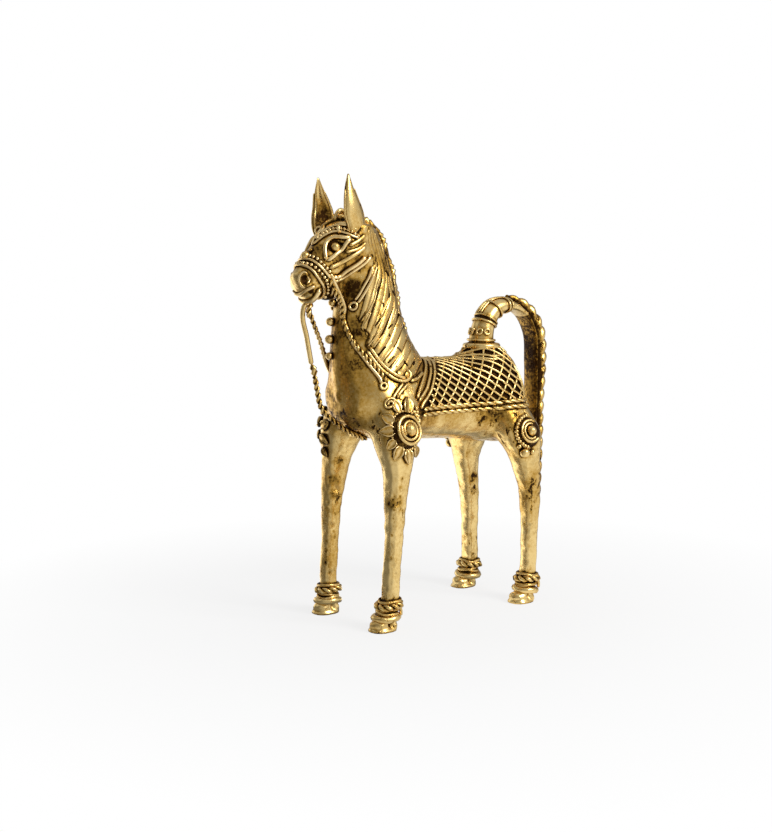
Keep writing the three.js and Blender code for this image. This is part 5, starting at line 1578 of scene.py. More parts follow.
@dataclass
class Saddle(Ornament):
    """The net laid over the back: a dark cloth, crossed threads, ropes along its foot and edge threads."""

    hem: float = 84.9
    thread: float = 0.5
    falling_spacing: float = 4.8
    rising_spacing: float = 5.2
    falling_slope: float = 0.66
    rising_slope: float = -1.26
    middle_height: float = 88.0
    depth: float = 40.0
    front_thread: float = 0.62
    rear_thread: float = 0.55
    rope: float = 0.95
    rope_heights: tuple[float, float] = (85.0, 82.8)
    front: tuple[tuple[float, float], ...] = (
        (84.0, -19.0), (87.6, -15.6), (90.6, -11.9), (94.9, -8.0), (99.5, -4.2), (101.5, -2.0), (102.8, 0.4),
        (112.0, 0.6),
    )
    rear: tuple[tuple[float, float], ...] = (
        (83.0, 41.0), (86.0, 40.4), (93.9, 38.4), (100.9, 37.6), (106.0, 37.6), (112.0, 37.6),
    )
    front_lines: tuple[Route, ...] = (
        ((0, -4.6, 104.2), (4.5, -5.8, 103.8), (8.4, -7.9, 102.2), (13.5, -12.9, 97.8), (16.1, -17.3, 93.6),
         (17.6, -21.0, 89.4)),
        ((0, -2.4, 103.6), (4.5, -3.4, 103.0), (7.6, -5.3, 101.3), (12.7, -9.6, 96.8), (15.3, -13.7, 92.6),
         (19.0, -19.2, 88.7)),
        ((0, -0.6, 103.2), (5, -1.6, 102.6), (9.4, -4.5, 99.5), (13.1, -8.2, 94.9), (15.2, -12.1, 90.6),
         (17.5, -16.0, 87.6), (18.2, -18.2, 85.4)),
    )
    rear_line: Route = (
        (0, 37.8, 103.0), (5.5, 37.4, 102.6), (10.9, 37.0, 99.6), (14.1, 38.4, 93.9), (15.8, 40.2, 86.4),
        (16.4, 40.6, 84.0),
    )

    def __post_init__(self) -> None:
        """Reads the back's sections, from the middle of the back down to the hem."""
        self.stations = np.arange(-26.0, 44.1, 1.0)
        table = []
        for y in self.stations:
            middle, points = np.array([0.0, y, self.middle_height]), []
            for turn in np.radians(np.arange(0.0, 119.0, 2.0)):
                way = np.array([math.sin(turn), 0.0, math.cos(turn)])
                hit = self.ground.cast(middle + way * 60, -way)
                points.append(middle if hit is None else hit)
            table.append(points)
        self.table = np.array(table)
        steps = np.linalg.norm(np.diff(self.table, axis=1), axis=2)
        middle = (self.stations > -8) & (self.stations < 34)
        self.lengths = np.concatenate([[0.0], np.cumsum(steps[middle].mean(axis=0))])

    def place(self, y: float, down: float) -> np.ndarray:
        """Gives the place on the left of the back at a length from its middle."""
        share = np.clip(y - self.stations[0], 0, len(self.stations) - 1.001)
        low = int(share)
        rows = self.table[low : low + 2]
        here, after = (np.array([np.interp(down, self.lengths, axis) for axis in row.T]) for row in rows)
        return here + (after - here) * (share - low)

    def between(self, spots: np.ndarray) -> np.ndarray:
        """Tells which places lie between the net's front and rear edges."""
        front, rear = (np.interp(spots[..., 2], *np.array(edge).T) for edge in (self.front, self.rear))
        return (front <= spots[..., 1]) & (spots[..., 1] <= rear)

    def runs(self, slope: float, spacing: float) -> list[np.ndarray]:
        """Gives the net's lines of one slope on the left side, cut at the edges.

        Args:
            slope: how far down a line goes for each millimetre to the rear.
            spacing: the distance between lines along the back.

        Returns:
            The lines.
        """
        lines = []
        reach = self.depth / abs(slope) + 1.0
        for offset in np.arange(-26.0 - reach, 44.0 + reach, spacing):
            run: list[np.ndarray] = []
            for down in np.arange(0.0, self.depth, 0.7):
                y = offset + down / slope
                if not self.stations[0] < y < self.stations[-1]:
                    continue
                spot = self.place(y, down)
                if self.between(spot) and spot[2] >= self.hem:
                    run.append(spot)
                elif len(run) > 3:
                    break
            if len(run) > 3:
                lines.append(np.array(run))
        return lines

    def cloth(self) -> None:
        """Lays the dark cloth under the net, a thin sheet closed at its edges."""
        count, deep = 60, 30
        grid = np.zeros((count, 2 * deep + 1, 3))
        feet = [np.interp(0.3 - self.hem, -row[:, 2], self.lengths) for row in self.table]
        trial = np.arange(self.stations[0] + 0.5, self.stations[-1] - 0.5, 0.25)
        for j in range(deep + 1):
            downs = np.interp(trial, self.stations, feet) * j / deep
            spots = np.array([self.place(y, down) for y, down in zip(trial, downs)])
            kept = trial[self.between(np.column_stack([spots[:, 0], trial, spots[:, 2]]))]
            for k in range(3):
                row = np.interp(np.linspace(kept[0], kept[-1], count), trial, spots[:, k])
                grid[:, deep + j, k] = row
                grid[:, deep - j, k] = -row if k == 0 else row
        flat = grid.reshape(-1, 3)
        up = self.ground.set_down(flat)[1]
        size = len(flat)
        index = np.arange(size).reshape(count, -1)
        corners = [index[:-1, :-1], index[1:, :-1], index[1:, 1:], index[:-1, 1:]]
        quads = np.stack(corners, axis=-1).reshape(-1, 4)
        rim = np.concatenate([index[0, :-1], index[:-1, -1], index[-1, :0:-1], index[:0:-1, 0]])
        after = np.roll(rim, -1)
        walls = np.column_stack([rim, after, after + size, rim + size])
        faces = np.vstack([quads, quads[:, ::-1] + size, walls])
        body = Body(np.vstack([flat + up * 0.22, flat - up * 0.5]), faces).outward()
        self.casting.piece("saddle_cloth", body, np.full(len(body.points), 0.75), NET_GROUND)

    def net(self) -> None:
        """Lays the two sets of crossed threads."""
        falling = self.runs(self.falling_slope, self.falling_spacing)
        rising = self.runs(self.rising_slope, self.rising_spacing)
        sets = (("saddle_lattice", falling, -1.15), ("saddle_lattice_under", rising, -0.45))
        for name, lines, sink in sets:
            left, right = (self.laid(lines, self.thread, sink, sign) for sign in SIDES.values())
            self.spin(name, [*left, *right], sides=6)

    def edges(self) -> None:
        """Lays the ropes along the foot of the net, and the threads along its front and rear edges."""
        for side, sign in SIDES.items():
            ropes, inward = [], np.array([-sign, 0.0, 0.0])
            for height in self.rope_heights:
                starts = [np.array([sign * 50.0, y, height]) for y in np.arange(-16.5, 41.0, 2.0)]
                hits = [self.ground.cast(start, inward) for start in starts]
                foot = np.array([hit for hit in hits if hit is not None])
                ropes.append(self.ground.lay(foot, self.rope, 0.0))
            self.spin(f"saddle_hem_{side}", ropes, Lay.TWISTED, pitch=7.5, spread=0.28, share=0.74)
        front = [across(half) for half in self.front_lines]
        self.spin("saddle_front_border", self.laid(front, self.front_thread, -0.1))
        rear = across(self.rear_line)
        borders = [rear + (0.0, back, 0.0) for back in (0.0, 1.5)]
        self.spin("saddle_rear_border", self.laid(borders, self.rear_thread, -0.1))

    def build(self) -> None:
        """Makes the saddle net."""
        self.cloth()
        self.net()
        self.edges()


@dataclass
class Rosettes(Ornament):
    """The coiled rosettes on shoulders and haunches, with their leaves."""

    shoulder_centre: Point = (23.0, -29.5, 77.9)
    shoulder_dome: Rows = ((6.9, -1.8), (6.8, 0.0), (6.2, 0.6), (4.6, 1.2), (2.0, 1.6), (0.4, 1.7))
    boss_depth: float = 0.85
    lift: float = 4.0
    coil_radii: tuple[float, float] = (4.5, 3.2)
    coil_angles: tuple[float, float] = (150.0, 582.0)
    coil_steps: int = 31
    shoulder_ring: float = 6.3
    shoulder_ball: float = 2.75
    shoulder_bead: float = 0.75
    knot: float = 0.8
    leaf_angles: tuple[float, ...] = (75, 105, 146, 176, 210, 238, 270, 300)
    leaf_reach: float = 10.3
    leaf_length: float = 6.8
    knots: Rows = ((8.6, 42), (9.4, 62), (8.2, 20), (11.0, 50))
    haunch_centre: Point = (22.4, 36.4, 72.8)
    haunch_dome: Rows = ((5.9, -1.8), (5.8, -0.3), (5.2, 0.2), (3.6, 0.6), (1.6, 0.8), (0.4, 0.85))
    haunch_rings: Rows = ((3.5, 60, 250, 0.5, -0.2), (5.3, 50, 270, 0.6, -0.1))
    haunch_ball: float = 2.15
    haunch_bead: float = 0.95
    drops: Rows = ((9.8, 250, 2.1), (8.8, 275, 1.1), (9.0, 225, 1.0))
    front_leaves: Route = ((-15.4, -40.9, 77.6), (-17.0, -39.5, 71.6), (-17.2, -38.9, 66.4))
    front_ways: Route = ((0.8, -0.5, 0.35), (0.75, -0.4, -0.5), (0.45, -0.3, -0.85))
    front_lengths: Point = (6.4, 6.0, 4.6)

    def boss(self, name: str, centre: Point, profile: Rows) -> tuple[np.ndarray, np.ndarray, Ground]:
        """Sets a dark dome on the skin and gives its place, its way up and its surface."""
        place, up, *_ = self.seat(centre)
        aside = unit(np.cross([0.0, 0.0, 1.0], up))
        turned = np.column_stack([aside, np.cross(up, aside), up])
        dome = lathe(np.array(profile), 40)
        body = Body(dome.points @ turned.T + place, dome.faces)
        self.casting.piece(name, body, np.full(len(body.points), self.boss_depth), WORN_BRASS)
        return place, up, Ground(body)

    def shoulder(self, side: str, centre: Point) -> None:
        """Makes a shoulder rosette: a ball in a coil and a ring, a beaded border and leaves round it."""
        place, up, boss = self.boss(f"shoulder_boss_{side}", centre, self.shoulder_dome)
        lift = up * self.lift
        radii, angles = (np.linspace(*ends, self.coil_steps) for ends in (self.coil_radii, self.coil_angles))
        coils = [boss.lay(self.spots(centre, radii, angles) + lift, 0.62, -0.2)]
        coils.append(boss.lay(self.loop(centre, self.shoulder_ring) + lift, 0.72, -0.1, closed=True))
        self.casting.spin(f"shoulder_coil_{side}", coils, boss)
        middle = (place + up * 1.7)[None]
        self.casting.scatter(f"shoulder_ball_{side}", "ball", middle, up, self.shoulder_ball, boss)
        self.string(f"shoulder_border_{side}", [self.loop(centre, 7.6, 60, 250)], self.shoulder_bead)
        self.leaves(f"shoulder_petals_{side}", centre)
        self.string(f"shoulder_knots_{side}", [self.spots(centre, *np.array(self.knots).T)], self.knot)

    def leaves(self, name: str, centre: Point) -> None:
        """Sets leaves round a shoulder rosette, each with its tip outwards."""
        angles = self.leaf_angles
        reach = np.full(len(angles), self.leaf_reach)
        places, up = self.ground.set_down(self.spots(centre, reach, angles))
        before, _ = self.ground.set_down(self.spots(centre, reach - 2.0, angles))
        sizes = self.leaf_length * (0.9 + 0.12 * np.cos(np.arange(len(angles)) * 2.3))
        self.casting.scatter(name, "leaf", places + up * 0.6, up, sizes, None, places - before, POLISHED)

    def haunch(self, side: str, centre: Point) -> None:
        """Makes a haunch rosette: a ball in two open rings, a beaded rim, and three balls below it."""
        place, up, boss = self.boss(f"haunch_boss_{side}", centre, self.haunch_dome)
        coils = []
        for radius, start, sweep, thick, sink in self.haunch_rings:
            coils.append(boss.lay(self.loop(centre, radius, start, sweep) + up * self.lift, thick, sink))
        self.casting.spin(f"haunch_coil_{side}", coils, boss)
        middle = (place + up * 1.5)[None]
        self.casting.scatter(f"haunch_ball_{side}", "ball", middle, up, self.haunch_ball, boss)
        self.string(f"haunch_border_{side}", [self.loop(centre, 6.7, 95, 160)], self.haunch_bead, 0.82)
        reach, angles, sizes = np.array(self.drops).T
        spots, ways = self.ground.set_down(self.spots(centre, reach, angles))
        self.casting.scatter(f"haunch_petals_{side}", "ball", spots + ways * 0.8, ways, sizes, self.ground)

    def front_petals(self) -> None:
        """Sets the leaves that run round the front of the right leg."""
        places, up = self.ground.set_down(self.front_leaves)
        self.casting.scatter(
            "front_petals_right", "leaf", places + up * 0.5, up, self.front_lengths, None, self.front_ways
        )

    def build(self) -> None:
        """Makes the four rosettes."""
        for side, sign in SIDES.items():
            self.shoulder(side, tuple(mirrored(self.shoulder_centre, sign)))
            self.haunch(side, tuple(mirrored(self.haunch_centre, sign)))
        self.front_petals()


@dataclass
class Tail(Ornament):
    """The arched tail with its collar, the relief up its rise and the plait down its outer side."""

    sides: int = 36
    rows: Rows = (
        (31.1, 98.0, 5.6, 5.6, 1.0), (29.8, 106.0, 5.5, 5.5, 1.0), (29.7, 111.0, 5.2, 5.1, 1.0),
        (31.3, 117.0, 4.9, 4.6, 1.0), (36.6, 123.0, 4.7, 4.0, 0.9), (45.0, 124.3, 4.6, 2.6, 0.8),
        (53.2, 120.4, 4.5, 1.2, 0.9), (58.0, 112.8, 4.3, 0.9, 0.8), (59.1, 99.6, 4.2, 0.8, 1.0),
        (59.3, 83.1, 3.9, 0.8, 0.9), (60.3, 67.5, 2.4, 1.0, 0.8), (61.4, 51.9, 1.5, 1.1, 0.9),
        (62.4, 36.4, 1.0, 1.0, 1.0),
    )
    bands: Rows = ((0.094, 0.55), (0.150, 0.5), (0.163, 0.45), (0.205, 0.5), (0.250, 0.5), (0.262, 0.4))
    bar_spans: Rows = ((0.167, 0.203), (0.210, 0.247))
    bar_turns: tuple[float, ...] = (-44, -26, -8, 10)
    loop_turns: tuple[float, ...] = (-70, -35, 0, 35, 70)
    loop_share: float = 0.122
    loop_radius: float = 1.25
    relief_thread: float = 0.45
    collar_back: float = 29.8
    collar_rows: Rows = (
        (6.0, 103.4, 0.9), (8.3, 104.0, 0.2), (8.4, 105.0, 0.2), (7.3, 105.5, 0.95), (7.2, 106.5, 0.95),
        (7.9, 107.0, 0.1), (8.0, 108.1, 0.0), (7.5, 108.8, 0.0), (6.2, 109.1, 0.45), (5.0, 109.5, 0.9),
    )
    collar_threads: Rows = ((9.2, 103.2), (10.2, 101.8))
    plait_span: tuple[float, float] = (0.27, 0.995)
    inner_depth: float = 0.72
    plait_radii: Rows = ((0, 1.6), (0.1, 3.6), (0.2, 4.5), (0.34, 4.6), (0.48, 4.1), (0.68, 3.1), (1, 1.3))

    def __post_init__(self) -> None:
        """Reads the tail's sections along its middle."""
        rows = np.array(self.rows)
        self.along = arc_lengths(rows[:, :2])
        self.table = spline(self.along, rows, np.linspace(0, self.along[-1], 120))
        path = np.column_stack([np.zeros(len(self.table)), self.table[:, :2]])
        self.ahead = unit(np.gradient(path, axis=0))

    def at(self, share: float) -> tuple[np.ndarray, np.ndarray]:
        """Gives the tail's section and its way ahead at a share of its length."""
        row = spline(self.along, np.array(self.rows), np.array([share * self.along[-1]]))[0]
        return row, self.ahead[int(share * (len(self.table) - 1))]

    def spot(self, share: float, turn: float) -> np.ndarray:
        """Gives the place on the tail at a share of its length and a turn in degrees from its outer side."""
        row, way = self.at(share)
        t = math.radians(turn)
        outward = np.array([0.0, -way[2], way[1]])
        middle = np.array([0.0, row[0], row[1]])
        return middle + outward * math.cos(t) * row[3] + np.array([math.sin(t) * row[2], 0, 0])

    def section(self, row: np.ndarray, ahead: np.ndarray, sides: int) -> np.ndarray:
        """Gives a ring of the tail: round at the root, with a flat inner face where it falls."""
        y, z, wide, deep, inner = row
        turns = np.linspace(0, math.tau, sides, endpoint=False)
        power = 2.0 / (2.0 + 1.4 * (1 - inner))
        c, s = np.cos(turns), np.sin(turns)
        out = np.sign(c) * np.abs(c) ** power * deep * np.where(c < 0, inner, 1.0)
        side = np.sign(s) * np.abs(s) ** power * wide
        outward = np.array([0.0, -ahead[2], ahead[1]])
        return np.array([0.0, y, z]) + np.outer(out, outward) + np.outer(side, [1.0, 0.0, 0.0])

    def relief(self, own: Ground) -> None:
        """Lays the rings, bars and loops up the tail's rise."""
        threads = []
        for share, radius in self.bands:
            threads.append(own.lay(self.section(*self.at(share), 24), radius, 0.15, closed=True))
        for low, high in self.bar_spans:
            for turn in self.bar_turns:
                bar = np.array([self.spot(share, turn) for share in np.linspace(low, high, 5)])
                threads.append(own.lay(bar, self.relief_thread, 0.1))
        row, _ = self.at(self.loop_share)
        for turn in np.radians(self.loop_turns):
            spot = (math.sin(turn) * row[2], row[0] - math.cos(turn) * row[3], row[1])
            ring = Ornament(self.casting, own).loop(spot, self.loop_radius)
            threads.append(own.lay(ring, self.relief_thread, 0.1, closed=True))
        self.casting.spin("tail_relief", threads, own)

    def collar(self) -> None:
        """Makes the collar and lays the threads round its foot."""
        rows = np.array(self.collar_rows)
        flange = lathe(rows[:, :2], 48)
        recess = np.concatenate([np.repeat(rows[:, 2], 48), [0.9, 0.9]])
        collar = Body(flange.points + (0.0, self.collar_back, 0.0), flange.faces)
        self.casting.piece("tail_collar", collar, recess, WORN_BRASS)
        turns = np.linspace(0, math.tau, 40, endpoint=False)
        rings = []
        for radius, height in self.collar_threads:
            ring = [radius * np.cos(turns), 30.3 + radius * np.sin(turns), np.full(40, height)]
            rings.append(self.ring(np.column_stack(ring), 0.45, -0.4))
        self.spin("tail_collar_threads", rings)

    def plait(self, own: Ground) -> None:
        """Lays the plait down the tail's outer side."""
        fall = np.array([self.spot(share, 0.0) for share in np.linspace(*self.plait_span, 66)])
        seam = own.lay(fall, 1.0, 1.0)
        thick = np.interp(np.linspace(0, 1, len(seam.radius)), *np.array(self.plait_radii).T)
        plait = Thread(seam.line + seam.up * (thick * 0.5)[:, None], thick, seam.up)
        style = {"pitch": 16.0, "spread": 0.52, "share": 0.6, "sides": 12}
        self.casting.spin("tail_plait", [plait], own, Lay.PLAITED, **style)

    def build(self) -> None:
        """Makes all that is laid on the tail, and then the tail, dark under it and on its inner face."""
        rings = [self.section(row, way, self.sides) for row, way in zip(self.table, self.ahead)]
        body = loft(np.array(rings))
        own = Ground(body)
        self.relief(own)
        self.collar()
        self.plait(own)
        recess = 0.9 * (1 - eased(0.0, 0.9, self.casting.cover().heights(body.points, 1.2)))
        inner = np.cos(np.linspace(0, math.tau, self.sides, endpoint=False)) < 0.4
        falling = np.linspace(0, 1, len(rings)) > 0.34
        dark = np.concatenate([np.outer(falling, inner).ravel(), [False, False]])
        recess = np.maximum(recess, np.where(dark, self.inner_depth, 0.0))
        self.casting.piece("tail", body, recess, WORN_BRASS)


@dataclass
class Feet(Ornament):
    """The hooves and the rolled strands round the ankles."""

    pitch: float = 0.36
    unevenness: float = 0.32
    wrap: float = 4.5
    twist: float = 1.4
    twist_wrap: float = 5.0
    loose_thread: float = 0.7
    loose_end: Route = ((2.8, 2.8, 10.8), (3.5, 3.8, 8.0), (2.6, 4.4, 5.4))
    strands: Rows = ((5.2, 1.4, 0.4), (7.1, 0.7, -0.5), (8.1, 0.6, 0.4), (11.6, 0.7, -0.4))

    def hoof(self, limb: Limb, turn: int) -> None:
        """Makes a hoof with a round toe, a lip round the sole, two heels and a notch on each side.

        Args:
            limb: the leg that it ends.
            turn: a number that makes each hoof a little different.
        """
        x, ankle, sole = SIDES[limb.side] * STANCE, limb.ankle - limb.toe * 0.8, limb.ankle - limb.sole
        space = VoxelSpace((x - 7.5, sole - 8.0, -1.0), (x + 7.5, max(sole, ankle) + 8.0, 8.5), self.pitch)
        rows = (
            (-0.6, x, sole, 4.5, 5.3), (0.8, x, sole, 4.6, 5.4), (1.6, x, sole + 0.2, 4.0, 4.6),
            (3.2, x, sole * 0.6 + ankle * 0.4, 3.8, 4.2), (6.4, x, ankle, 3.6, 3.7),
        )
        shape = Stack(rows, domes=(0.2, 0.6), corner=2.4).distance(space)
        steps = [(merged, Lump((x, sole - 2.2, 2.3), (3.5, 2.9, 2.5)), 0.8)]
        for lean in (-1.0, 1.0):
            heel = Lump((x + lean * 2.2, sole + 3.4, 2.0), (1.9, 1.7, 2.2))
            notch = Lump((x + lean * 4.6, sole + 1.0, 3.3), (1.7, 1.2, 1.7))
            steps += [(merged, heel, 0.8), (carved, notch, 0.5)]
        steps.append((carved, Lump((x, sole + 5.4, 1.5), (0.7, 2.0, 2.6)), 0.5))
        for join, lump, fillet in steps:
            shape = join(shape, lump.distance(space), fillet)
        body = space.surface(np.maximum(shape, -space.along((0, 0, 1)))).relaxed(6)
        swell = np.array([noise.noise(Vector(p) / 3.4 + Vector((turn * 9.0, 0, 0))) for p in body.points])
        swell *= self.unevenness * eased(0.0, 1.2, body.points[:, 2])
        points = body.points + body.normals() * swell[:, None]
        points[:, 2] = np.maximum(points[:, 2], 0.0)
        body = Body(points, body.faces)
        hollow = np.einsum("ij,ij->i", body.moved_to_mean(1.0).points - points, body.normals())
        foot, top = 1 - eased(0.0, 0.9, points[:, 2]), eased(4.2, 6.0, points[:, 2])
        recess = np.clip(hollow * 14.0, 0, 0.8) + 0.75 * foot + 0.6 * top
        self.casting.piece(limb.name("hoof"), body, np.clip(recess, 0, 1), WORN_BRASS)

    def anklet(self, limb: Limb, turn: int) -> None:
        """Winds uneven strands round an ankle, with a loose end at the heel.

        Args:
            limb: the leg that it goes round.
            turn: a number that makes each anklet a little different.
        """
        name, sign, ankle, toe = limb.name("anklet"), SIDES[limb.side], limb.ankle, limb.toe
        x, back = sign * STANCE, ankle - toe * 0.5
        turns = np.linspace(0, math.tau, 28, endpoint=False)
        rolls = []
        for k, (height, radius, tilt) in enumerate(self.strands):
            middle = ankle - toe * min(max((12.5 - height) / 8.5, 0.12), 1.0)
            z = height + tilt * np.sin(turns + turn * 1.7 + k) + 0.22 * np.sin(3 * turns + turn + k)
            line = np.column_stack([x + self.wrap * np.cos(turns), middle + self.wrap * np.sin(turns), z])
            rolls.append(self.ring(line, radius, 0.15))
        loose = [(x + sign * out, back + behind, z) for out, behind, z in self.loose_end]
        rolls.append(self.ground.drape(loose, self.loose_thread))
        self.spin(name, rolls)
        z = 9.8 + 0.5 * np.sin(turns + turn)
        wrap, middle = self.twist_wrap, ankle - toe * 0.32
        line = np.column_stack([x + wrap * np.cos(turns), middle + wrap * np.sin(turns), z])
        twist = self.ring(line, self.twist, 0.2)
        length = float(arc_lengths(np.vstack([twist.line, twist.line[:1]]))[-1])
        self.spin(f"{name}_twist", [twist], Lay.TWISTED, pitch=length / 5, share=0.6)

    def build(self) -> None:
        """Makes the four feet."""
        for turn, limb in enumerate(LIMBS):
            self.hoof(limb, turn)
            self.anklet(limb, turn)


@dataclass
class Horse:
    """The whole casting. Rows of spots give a place, its reach and how deep or how bare it is."""

    casting: Casting = field(default_factory=Casting)
    skin: CastSkin = field(default_factory=CastSkin)
    soft_rounds: int = 24
    soft_share: float = 0.6
    cover_limit: float = 1.6
    cover_fade: tuple[float, float] = (0.0, 1.4)
    cover_depth: float = 0.95
    hollow_gain: float = 1.6
    hollow_most: float = 0.6
    bare: Rows = (
        (7.6, -31.6, 147.6, 11.0, 0.22), (2.5, -64.0, 134.0, 5.0, 0.10), (5.6, -38.8, 156.0, 5.0, 0.25),
    )
    bare_fade: tuple[float, float] = (0.65, 1.1)
    dark_spots: Rows = (
        (7.6, -51.6, 147.6, 3.0, 1.0), (5.0, -63.6, 135.4, 2.1, 1.0), (5.6, -61.6, 131.4, 1.6, 0.9),
        (2.0, -50.8, 130.0, 4.6, 0.95), (0.6, -43.6, 157.8, 2.8, 0.9), (0.6, -60.4, 144.6, 2.9, 0.9),
    )
    spot_fade: tuple[float, float] = (0.75, 1.25)
    # Darker spots on the skin: some are stains, and some are painted shade and painted shadow, as said above
    # the rows.
    stains_and_shade: Rows = (
        # The first two rows paint the shade under the jaw on the throat. The chest and neck-front rows after
        # them darken partly for dirt and partly as painted shade where these faces turn from the light.
        (6.6, -43.0, 131.6, 5.4, 0.80), (5.6, -45.0, 126.0, 4.2, 0.70), (2.0, -46.0, 112.0, 11.0, 0.62),
        (4.0, -45.5, 98.0, 17.0, 0.60), (7.0, -44.5, 86.0, 13.0, 0.52), (8.6, -41.4, 116.0, 7.0, 0.62),
        # The second row here darkens the face between browband and noseband, partly for dirt and partly as a
        # painted dark reflection. The last row here and the first two on the next line are darker patches on
        # the cheeks, between the folds.
        (0.0, -48.0, 92.0, 11.0, 0.60), (4.4, -56.7, 146.0, 4.5, 0.64), (8.7, -49.4, 143.4, 4.6, 0.74),
        # The last row here and the three on the next line paint the shadow of the saddle hem along the top of
        # the flank.
        (9.8, -44.4, 145.2, 5.0, 0.74), (9.0, -41.0, 141.6, 5.0, 0.68), (13.7, -10.4, 81.6, 7.0, 0.54),
        (12.7, 3.2, 81.7, 8.0, 0.52), (14.5, 21.5, 81.7, 8.0, 0.52), (20.4, 30.0, 80.5, 6.0, 0.46),
        # The first row here paints the shadow round the shoulder rosette, between its leaves.
        (21.6, -29.5, 77.9, 9.8, 0.74), (17.0, 36.0, 64.0, 7.0, 0.24),
    )
    stain_and_shade_fade: tuple[float, float] = (0.4, 1.3)
    # Tarnish on the legs, and on the left flank the painted shadow of the saddle hem.
    tarnish_and_shadow: Rows = (
        (-13.6, -36.5, 54.5, 4.2, 0.74), (-13.6, -36.5, 49.5, 4.2, 0.62), (-13.0, -35.2, 62.0, 3.4, 0.56),
        (-14.4, -36.2, 43.0, 4.0, 0.42), (-15.0, -36.4, 30.0, 4.0, 0.34), (-14.8, 38.4, 49.0, 3.4, 0.50),
        (20.6, -34.8, 50.0, 2.6, 0.48), (22.6, -32.4, 49.8, 2.2, 0.58), (21.6, 38.6, 52.0, 4.0, 0.34),
        # The last two rows here and the three on the next line paint the saddle hem's shadow on the left
        # flank.
        (-14.6, -36.4, 16.0, 3.6, 0.36), (14.6, 26.0, 80.4, 4.6, 0.60), (15.5, -16.0, 82.0, 4.5, 0.85),
        (14.0, -8.0, 83.5, 4.5, 0.75), (14.0, 2.0, 84.0, 3.5, 0.60), (17.0, 33.0, 80.0, 3.5, 0.60),
        (-13.4, -35.6, 50.0, 18.0, 0.32), (-14.8, -37.0, 24.0, 12.0, 0.30), (20.6, 38.0, 44.0, 16.0, 0.22),
    )
    tarnish_and_shadow_fade: tuple[float, float] = (0.3, 1.3)
    scar_depth: float = 1.05
    scar_fade: tuple[float, float] = (0.4, 1.2)

    def patterns(self) -> None:
        """Makes the small shapes that are repeated."""
        self.casting.pattern("bead", ball(8, 6))
        self.casting.pattern("ball", ball(18, 10))
        self.casting.pattern("leaf", *leaf())

    def aged(self, body: Body) -> np.ndarray:
        """Gives how deep each point of the skin lies: under cover, in a hollow, or in a spot of its own. Some
        spots are stains and tarnish, and some are painted shade and painted shadow.
        """
        soft = body
        for _ in range(self.soft_rounds):
            soft = soft.moved_to_mean(self.soft_share)
        hollow = np.einsum("ij,ij->i", soft.points - body.points, body.normals())
        near = self.casting.cover().heights(body.points, self.cover_limit)
        recess = self.cover_depth * (1 - eased(*self.cover_fade, near))
        recess += np.clip(hollow * self.hollow_gain, 0, self.hollow_most)
        both, as_given = tuple(SIDES.values()), (LEFT,)
        scars = [(*row, self.scar_depth) for row in self.skin.scars]
        marks = (
            # Besides stains and tarnish, these spots paint the shade under the jaw, part of the chest's
            # darkness, and the shadows of the saddle hem and round the shoulder rosettes.
            (self.bare, self.bare_fade, both), (self.dark_spots, self.spot_fade, both),
            (self.stains_and_shade, self.stain_and_shade_fade, both), (self.tarnish_and_shadow, self.tarnish_and_shadow_fade, as_given),
            (scars, self.scar_fade, as_given),
        )
        for spots, fade, sides in marks:
            for *centre, reach, depth in spots:
                for sign in sides:
                    off = np.linalg.norm(body.points - mirrored(centre, sign), axis=1)
                    away = eased(reach * fade[0], reach * fade[1], off)
                    if spots is self.bare:
                        recess = np.minimum(recess, depth + away)
                    else:
                        recess = np.maximum(recess, depth * (1 - away))
        return np.clip(recess, 0, 1)

    def cast(self) -> None:
        """Makes the skin, everything laid on it, and then the skin's own piece."""
        ground = self.skin.sculpt()
        self.patterns()
        for ornament in (Face, Bridle, Mane, Saddle, Rosettes, Tail, Feet):
            ornament(self.casting, ground).build()
        self.casting.clear_patterns()
        legs = tuple(limb.name("leg") for limb in LIMBS)
        stands_for = ("torso", "neck", "head", *legs, "clay_core")
        self.casting.piece("cast_skin", ground.body, self.aged(ground.body), WORN_BRASS, stands_for)


